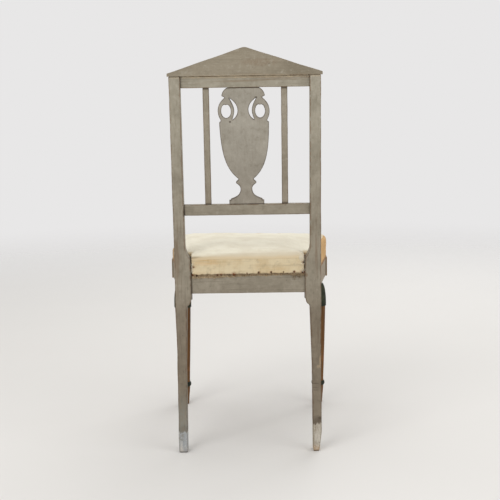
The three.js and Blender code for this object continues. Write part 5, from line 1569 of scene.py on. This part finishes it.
def seatPad(material):
    travel, lift = padRows()
    start = cloth["start"]
    grid = seatPoint(travel, lift, start)
    blown = settledTop(grid, material)
    grid = grid + (blown - grid) * easeIn(travel - edgeTravel, 10 * mm, 30 * mm)[..., None]
    normals = gridNormals(grid)
    height = puckers(grid, travel)
    # the fold: a groove along its line with the calico full above it, on the rear half only
    x = grid[..., 0]
    line = np.interp(x, foldX, foldTravel)
    depth = np.interp(x, foldX, foldDepth) * (grid[..., 1] > foldFront) * rearShare
    fromFold = travel - line
    visible = easeIn(travel - edgeTravel, -2.5 * mm, 1 * mm) * (lift >= 0)
    softness = np.interp(x, foldX, foldSoftness)
    groove = np.exp(-(fromFold / softness) ** 2)
    full = np.exp(-((fromFold - 8 * mm) / (6 * mm)) ** 2)
    height = height + depth * visible * (0.8 * full - 0.9 * groove)
    grid = grid + normals * height[..., None]
    # below the fold the calico is grubby and in painted shade
    under = easeIn(fromFold, softness, -softness) * rearShare * (grid[..., 1] > foldFront)
    crease = np.exp(-(fromFold / creaseWidth) ** 2) * (depth > 0)
    marks = {
        "grubby": np.clip(under, 0, 1) * (lift > -0.5 * mm),
        "lip": easeIn(travel - edgeTravel, 8 * mm, -1 * mm),
        # painted shade in the fold's groove, and a painted shadow along the crease near the left post
        "fold": groove * visible * np.clip(depth / foldDepth.max(), 0, 1),
        "crease": crease * visible * easeIn(x, 108 * mm, 128 * mm),
        # painted shadow beside the posts
        "gap": postGapShadow(grid) * (grid[..., 2] < shoulderStart),
    }
    # the cloth's map runs on past the rim as if the calico lay flat
    outwards = unit(rimBase - seatMiddle)
    uv = grid[..., :2] + outwards * np.clip(rimRun - travel, 0, None)[..., None]
    block = padBlock(grid, marks, uv)
    pad = makePiece("seat_pad", [block], material, ["hair_stuffing", "calico_cover"])


# Tacks along the hem, as places round the rim. Behind they stand where the photograph has them.

rearTacks = [  # x, height and size
    (127.8, 445.0, 1.15), (130.0, 425.6, 1.1), (120.5, 424.6, 1.1), (71.7, 425.2, 1.0), (62.8, 426.2, 1.15),
    (32.7, 426.4, 1.5), (2.0, 428.4, 0.8), (-26.1, 430.2, 1.1), (-54.3, 430.2, 1.15), (-83.6, 430.4, 0.85),
    (-109.0, 430.8, 1.2), (-130.3, 453.5, 1.3), (-133.2, 468.5, 0.8), (-130.0, 429.6, 1.6),
]
tacks = {"radius": 2.4 * mm, "height": 0.9 * mm, "sides": 12, "pitch": 31 * mm, "rise": 5 * mm}


def hemHeights():
    # the hem's height round the rim: on the rails at the sides and behind, up beside the posts
    side, rear = place["frameTop"] + seat["sideHem"], place["frameTop"] + seat["rearHem"]
    atPost = place["frameTop"] + 2 * seat["gap"]
    y, x = rimBase[:, 1], np.abs(rimBase[:, 0])
    notch = place["postFront"] - seat["gap"]
    low = side + (atPost - side) * np.clip((y - notch + seat["hemTurn"]) / (seat["hemTurn"] - 0.5 * mm), 0, 1)
    rearEdge = place["rearRailFace"] + seat["gap"]
    corner = place["seatPostInner"] - seat["postEase"]
    behind = (y > rearEdge) & (x < corner)
    drop = np.clip((corner - 0.4 * mm - x) / (3 * mm), 0, 1)
    rear = rear - seat["rearHemTilt"] * rimBase[:, 0]
    return np.where(behind, atPost + (rear - atPost) * drop, low)


def tackPlaces():
    # places, outward ways and sizes: the photograph's behind, and even steps along the other three edges
    rearY = place["rearRailFace"] + seat["gap"] + seat["cover"]
    behind = [((x * mm, rearY + swellAt(z * mm), z * mm), (0, 1, 0), size) for x, z, size in rearTacks]
    hem = hemHeights() + tacks["rise"]
    free = rimBase[:, 1] < place["postFront"] - 12 * mm
    around = np.arange(tacks["pitch"] / 2, rimAround[-1], tacks["pitch"])
    index = np.searchsorted(rimAround, around)
    index = index[free[np.minimum(index, len(free) - 1)]]
    along = np.roll(rimBase, -1, axis=0) - np.roll(rimBase, 1, axis=0)
    ways = unit(joined(along[:, 1], -along[:, 0]))
    draw = np.random.default_rng(70)
    return behind + [
        ((*rimBase[i], hem[i] + draw.uniform(-1.5, 1.5) * mm), (*ways[i], 0), draw.uniform(0.85, 1.15))
        for i in index
    ]


def tackBlock(places):
    # domed heads, each a little out of round and tilted, set 0.3 mm into the cloth
    draw = np.random.default_rng(71)
    count = len(places)
    centre = np.array([spot for spot, way, size in places])
    way = np.array([way for spot, way, size in places], dtype=float)
    way = unit(way + draw.uniform(-0.16, 0.16, (count, 3)))
    first = unit(np.cross(way, [0, 0, 1.0]))
    second = np.cross(way, first)
    turn = np.linspace(0, 2 * np.pi, tacks["sides"], endpoint=False)
    rows = np.radians([0, 24, 48, 72])
    radius = tacks["radius"] * np.array([size for spot, way, size in places])[:, None, None]
    outOfRound = draw.uniform(0, 0.08, count)[:, None, None]
    outOfRound = 1 + outOfRound * np.cos(2 * turn + draw.uniform(0, 3, (count, 1, 1)))
    reach = radius * np.cos(rows)[None, :, None] * outOfRound
    rise = tacks["height"] * np.sin(rows)[None, :, None] - 0.3 * mm
    wheel = np.cos(turn)[:, None] * first[:, None, None] + np.sin(turn)[:, None] * second[:, None, None]
    grid = centre[:, None, None] + reach[..., None] * wheel + rise[..., None] * way[:, None, None]
    return [closedStack(one) for one in grid]


def scrimBorder(material, places):
    # the band round the seat: the same surface as the pad's sides, from the hem up to the calico's edge,
    # drawn down between its tacks behind and full of small ripples
    rows = 22
    share = np.linspace(0, 1, rows)[:, None]
    hem = hemHeights()
    sag = waver(rimAround, 640, 0.9 * mm, 0.03) + waver(rimAround, 641, 0.5 * mm, 0.011)
    low = hem - stuffingLow + np.where(onRear, sag, 0.5 * sag)
    travel = low + (edgeTravel - 0.2 * mm - low) * share
    nearHem = np.exp(-(travel - low) / np.where(onRear, 6 * mm, 9 * mm))
    ripple = waver(np.broadcast_to(rimAround, travel.shape), 650, 0.22 * mm, 0.016) * (0.3 + nearHem)
    free = easeIn(travel - edgeTravel, -2 * mm, -6 * mm)
    lift = (0.18 * mm + ripple) * free
    outer = seatPoint(travel, lift)
    inner = seatPoint(travel, lift - seat["borderThickness"])
    centres = np.array([spot for spot, way, size in places])
    sizes = np.array([size for spot, way, size in places])
    distance = (np.linalg.norm(outer[:, :, None, :] - centres, axis=-1) / sizes ** 2).min(axis=-1)
    # the gap mark is painted shadow beside the posts
    marks = {"hem": nearHem * np.where(onRear, 0.8, 1.5), "rust": np.exp(-(distance / (3.4 * mm)) ** 2),
             "gap": postGapShadow(outer)}
    uv = joined(rimAround, travel)
    border = makePiece("scrim_border", [shellBetween(outer, inner, True, marks, uv)], material)
    depth = edgeTravel - low
    around = rimSteps.sum()
    float((depth * rimSteps).sum())


# Loose threads and the frayed strip under the hem

fray = {"radius": 0.28 * mm, "steps": 6, "count": 620, "stray": 110, "strayRadius": 0.42 * mm, "tuft": 260,
        "tuftRadius": 0.3 * mm, "leftDepth": 11 * mm, "rightDepth": 6.5 * mm, "bareShare": 0.85}


def threadBlock(start, way, bend, length, radius, seed):
    # many thin tubes at once: each runs along its way and curls by its bend, three-sided. The shade of
    # each is drawn from 0 to 1.
    count, steps, sides = len(start), fray["steps"], 3
    share = np.linspace(0, 1, steps)[None, :, None]
    draw = np.random.default_rng(seed)
    path = start[:, None] + length[:, None, None] * (way[:, None] * share + bend[:, None] * share ** 2)
    path = path + draw.uniform(-0.35, 0.35, (count, steps, 3)) * mm * share
    turn = np.linspace(0, 2 * np.pi, sides, endpoint=False)[:, None]
    out = np.array([0, 1.0, 0])
    sideways = unit(np.cross(out, way))
    thick = (radius * np.linspace(1, 0.6, steps))[None, :, None, None]
    grid = path[:, :, None] + thick * (np.cos(turn) * sideways[:, None, None] + np.sin(turn) * out)
    begin = np.arange(count)[:, None] * steps * sides
    quads = (begin[:, None] + gridQuads(steps, sides, True)).reshape(-1, 4)
    faces = [(quads, True), (begin + [2, 1, 0], False), (begin + (steps - 1) * sides + [0, 1, 2], False)]
    points = grid.reshape(-1, 3)
    shade = np.repeat(draw.random(count), steps * sides)
    return {"points": points, "faces": faces, "marks": {"stripe": shade}, "uv": points[:, [0, 2]]}


def hangingThreads(spot, top, y, length, spread, bendSpread, seed, radius):
    # threads that hang from a height, turned off the plumb line by a normal draw
    draw = np.random.default_rng(seed)
    count = len(spot)
    start = joined(spot, y + draw.uniform(0, 0.25, count) * mm, top)
    angle = draw.normal(-np.pi / 2, spread, count)
    way = joined(np.cos(angle), draw.uniform(-0.02, 0.05, count), np.sin(angle))
    bend = joined(draw.normal(0, bendSpread, count), draw.uniform(0, 0.03, count),
                  draw.normal(0, bendSpread, count))
    return threadBlock(start, way, bend, length, radius, seed + 1)


def frayedHem(material):
    # a shallow strip of bare weave under the rear hem, its loose warp hanging from it, longest at the
    # sitter's left, and stray threads across it
    draw = np.random.default_rng(80)
    reach = place["seatPostInner"] - seat["postEase"] - 1.5 * mm
    x = np.linspace(-reach, reach, 260)
    face = place["rearRailFace"]
    hem = place["frameTop"] + seat["rearHem"]
    top = hem + 3 * mm - seat["rearHemTilt"] * x
    ragged = waver(x, 700, 0.9 * mm, 0.012) + waver(x, 701, 0.7 * mm, 0.005)
    ragged = ragged + waver(x, 702, 0.8 * mm, 0.06)
    depth = fray["rightDepth"] + (fray["leftDepth"] - fray["rightDepth"]) * easeIn(x, -40 * mm, 110 * mm)
    low = top - 3 * mm - fray["bareShare"] * depth + ragged
    rows = np.linspace(0, 1, 5)[:, None]
    height = low + (top - low) * rows
    wave = waver(x, 703, 0.15 * mm, 0.01) * (1 - rows)
    outer = joined(x, face + 0.5 * mm + wave, height)
    inner = outer - np.array([0, 0.42 * mm, 0])
    uv = outer[..., [0, 2]]
    # seen from behind, columns run towards -x
    pale = 0.25 + 0.5 * easeIn(x, -20 * mm, 100 * mm) + waver(x, 704, 0.35, 0.007)
    shades = {"stripe": np.clip(pale + 0.45 * (1 - rows) ** 3, 0, 1)[:, ::-1]}
    strip = shellBetween(outer[:, ::-1], inner[:, ::-1], False, shades, uv[:, ::-1])
    spot = draw.uniform(-reach, reach, fray["count"])
    length = np.interp(spot, x, depth) * draw.uniform(0.45, 1.05, fray["count"])
    under = np.interp(spot, x, top) - 2.6 * mm
    warp = hangingThreads(spot, under, face + 0.65 * mm, length, 0.16, 0.12, 81, fray["radius"])
    # half of the strays are at the sitter's right, where they reach furthest down
    count = fray["stray"]
    right = draw.random(count) < 0.5
    spot = np.where(right, draw.uniform(-reach, -105 * mm, count), draw.uniform(-reach, reach, count))
    length = np.where(right, draw.uniform(6, 15, count), draw.gamma(3.0, 1.4, count)) * mm
    under = np.interp(spot, x, top) - 2.6 * mm
    stray = hangingThreads(spot, under, face + 0.9 * mm, length, 0.6, 0.4, 83, fray["strayRadius"])
    makePiece("frayed_hem", [strip, warp, stray], material, [])


def paleThreads(material):
    # short white fluff pulled out of the border beside the right post, and a little at the left one
    draw = np.random.default_rng(90)
    count = fray["tuft"]
    onRight = np.arange(count) < count * 0.8
    spread = draw.normal(0, 1, count) * np.where(onRight, 3.2, 1.6)
    reach = place["seatPostInner"] - 2.2 * mm
    spot = np.clip((np.where(onRight, -127, 129.5) + spread) * mm, -reach, reach)
    high = draw.random(count) < 0.7
    height = np.where(high, draw.normal(463, 4.5, count), draw.uniform(431, 452, count))
    height = np.where(onRight, height, draw.uniform(432, 455, count)) * mm
    y = place["rearRailFace"] + seat["gap"] + seat["cover"] + swellAt(height) + 0.25 * mm
    start = joined(spot, y, height)
    angle = draw.uniform(0, 2 * np.pi, count)
    way = joined(np.cos(angle), draw.uniform(0.0, 0.25, count), np.sin(angle))
    bend = joined(draw.normal(0, 0.7, count), 0, draw.normal(0, 0.7, count))
    threads = threadBlock(start, way, bend, draw.uniform(1.5, 4.5, count) * mm, fray["tuftRadius"], 91)
    makePiece("pale_threads", [threads], material, [])


# Webbing and base cloth, under the stuffing

web = {"width": 50 * mm, "thickness": 1.2 * mm, "gap": 0.3 * mm, "ramp": 10.5 * mm, "endInset": 7 * mm,
       "pitchDeep": 92 * mm, "postGap": 25.5 * mm}
webLow = place["frameTop"] + web["gap"]
webLift = web["thickness"] + web["gap"]
webAcross = place["seatPostInner"] - web["postGap"] - web["width"] / 2
webColumns = [("right", -1), ("middle", 0), ("left", 1)]
webRows = [("front", -1), ("middle", 0), ("rear", 1)]


def webStrip(name, start, finish, middle, crossings, turned, material):
    # one tape: low on the rails, lifted by smooth ramps over every second tape that it crosses
    run = np.linspace(start, finish, 150)
    level = np.zeros(len(run))
    for crossing in crossings:
        off = np.abs(run - crossing)
        half = web["width"] / 2 + web["gap"]
        level = np.maximum(level, 1 - easeIn(off, half, half + web["ramp"]))
    width = np.linspace(-0.5, 0.5, 13)[:, None] * web["width"]
    height = webLow + webLift * level
    axes = (middle + width, run) if turned else (run, middle + width)
    outer = joined(*axes, height + web["thickness"])
    inner = joined(*axes, height)
    uv = joined(run, middle + width)
    stripe = np.exp(-((np.abs(width) - 0.4 * web["width"]) / (1.1 * mm)) ** 2) + 0 * run
    if turned:
        outer, inner, uv, stripe = outer[::-1], inner[::-1], uv[::-1], stripe[::-1]
    block = shellBetween(outer, inner, False, {"stripe": stripe}, uv)
    piece = makePiece(name, [block], material)
    finish - start


def makeWebbing(material):
    middleY = float(seatMiddle[1])
    columnX = [column * webAcross for label, column in webColumns]
    rowY = [middleY + row * web["pitchDeep"] for label, row in webRows]
    for index, (label, column) in enumerate(webColumns):
        crossings = [y for row, y in enumerate(rowY) if (row + index) % 2 == 0]
        webStrip(f"web_deep_{label}", place["frontRailFace"] + web["endInset"],
                 place["rearRailFace"] - web["endInset"], columnX[index], crossings, True, material)
    for index, (label, row) in enumerate(webRows):
        crossings = [x for column, x in enumerate(columnX) if (index + column) % 2 == 1]
        reach = sideOuter(rowY[index] + web["width"] / 2) - web["endInset"]
        webStrip(f"web_across_{label}", -reach, reach, rowY[index], crossings, False, material)


baseCloth = {"inset": 8 * mm, "low": 3.3 * mm, "thickness": 1 * mm}


def makeBaseCloth(material):
    # the seat's plan drawn in by the inset, as rings towards the middle, flat on the webbing
    rim = seatRim(baseCloth["inset"], baseCloth["inset"])
    share = np.linspace(0.03, 1, 22)[::-1, None, None]
    flat = seatMiddle + (rim - seatMiddle) * share
    low = place["frameTop"] + baseCloth["low"]
    outer = joined(flat[..., 0], flat[..., 1], low + baseCloth["thickness"])
    inner = joined(flat[..., 0], flat[..., 1], low)
    cols = len(rim)
    block = shellBetween(outer, inner, True, {}, outer[..., :2])
    del block["faces"][3]
    count = outer.shape[0] * cols
    top, bottom = (outer.shape[0] - 1) * cols, count + (outer.shape[0] - 1) * cols
    block["faces"] += [(np.arange(cols)[None] + top, False), (np.arange(cols)[None, ::-1] + bottom, False)]
    piece = makePiece("base_cloth", [block], material)
    ahead = np.roll(rim, -1, axis=0)
    cut = abs((rim[:, 0] * ahead[:, 1] - rim[:, 1] * ahead[:, 0]).sum() / 2)


# Making it all

makeCamera()
makeLamps()
makeSurroundings()
print("camera, lamps and floor made")

legPaints = {
    "left": paintedWood("left_leg_paint", "up", "frame", "left", 0.0, 0.45),
    "right": paintedWood("right_leg_paint", "up", "frame", "right", 11.0, 0.15),
}
acrossPaint = paintedWood("across_paint", "across", "frame", None, 3.0)
crestPaint = paintedWood("crest_paint", "across", "frame", None, 3.6, 0.45)
# the side rails take the lighter paint, painted light on their sides
deepPaint = paintedWood("deep_paint", "deep", "side", None, 5.0)
pedimentPaint = paintedWood("pediment_paint", "across", "pediment", None, 17.0)
slatPaint = paintedWood("slat_paint", "up", "slat", None, 13.0)
urnPaint = paintedWood("urn_paint", "up", "urn", None, 7.0)
pegPaint = paintedWood("peg_paint", "up", "frame", None, 8.0)
legFinish = turnedWood("turned_wood", bellBottom, ringLow, ringHigh, headBottom)
print("wood finishes made")

for label, side in bothSides:
    makePiece(f"rear_leg_{label}", [rearLegBlock(side, label == "right")], legPaints[label])
crest = backRail(back["crestLow"], back["crestHigh"], 100)
cross = backRail(back["crossLow"], back["crossHigh"], 130)
makePiece("crest_rail", [crest], crestPaint)
makePiece("cross_rail", [cross], acrossPaint)
makePiece("pediment", [pedimentBlock()], pedimentPaint)
for label, side in bothSides:
    makePiece(f"slat_{label}", [slatBlock(side, 175 - 15 * side)], slatPaint)
makePiece("urn_splat", urnSplat(), urnPaint)
print("back made")

frontY = (place["frontRailFace"] + place["frontRailInner"]) / 2
rearY = (place["rearRailFace"] + place["rearRailInner"]) / 2
frontRail = straightRail(place["headInner"], frontY, place["lowRailBottom"], 220)
rearRail = straightRail(place["seatPostInner"], rearY, rearRailLow[2], 250)
makePiece("front_seat_rail", [frontRail], acrossPaint)
makePiece("rear_seat_rail", [rearRail], acrossPaint)
for label, side in bothSides:
    makePiece(f"side_seat_rail_{label}", [sideRailBlock(side)], deepPaint)
for label, side in bothSides:
    makePiece(f"front_leg_{label}", frontLegBlocks(side), legFinish)
print("seat rails and front legs made")

pegWays = {"peg_crest_rail": (1, -1), "peg_cross_rail": (1, -1), "peg_rear_rail": (1, -1),
           "peg_side_rail_rear": (0, 1), "peg_side_rail_front": (0, 1), "peg_front_rail": (1, -1)}
for kind, (axis, way) in pegWays.items():
    for label, side in bothSides:
        node = f"{kind}_{label}"
        block = pegBlock(node, axis, way * side if axis == 0 else way)
        makePiece(node + "_head", [block], pegPaint, [node])
print("pegs made")

places = tackPlaces()
seatPad(calicoCloth())
scrimBorder(scrimCloth(), places)
makePiece("hem_tacks", tackBlock(places), oldIron("tack_iron"), [])
frayedHem(juteCloth("frayed_jute"))
paleThreads(juteCloth("pale_thread"))
makeWebbing(juteCloth("web_jute"))
makeBaseCloth(juteCloth("base_jute"))
print("seat made")

# The hidden pieces that keep the frame's own shapes
hidden = {"bare_wood": sawnWood("sawn_wood"), "screw_steel": oldIron("screw_steel")}
for part in frame["record"]["subparts"]:
    node = bpy.data.objects.get(part["node"])
    if part["material_slot"] in hidden and node is not None:
        for slot in node.material_slots:
            slot.material = hidden[part["material_slot"]]
print("hidden pieces finished")

scene.view_settings.view_transform = "Standard"
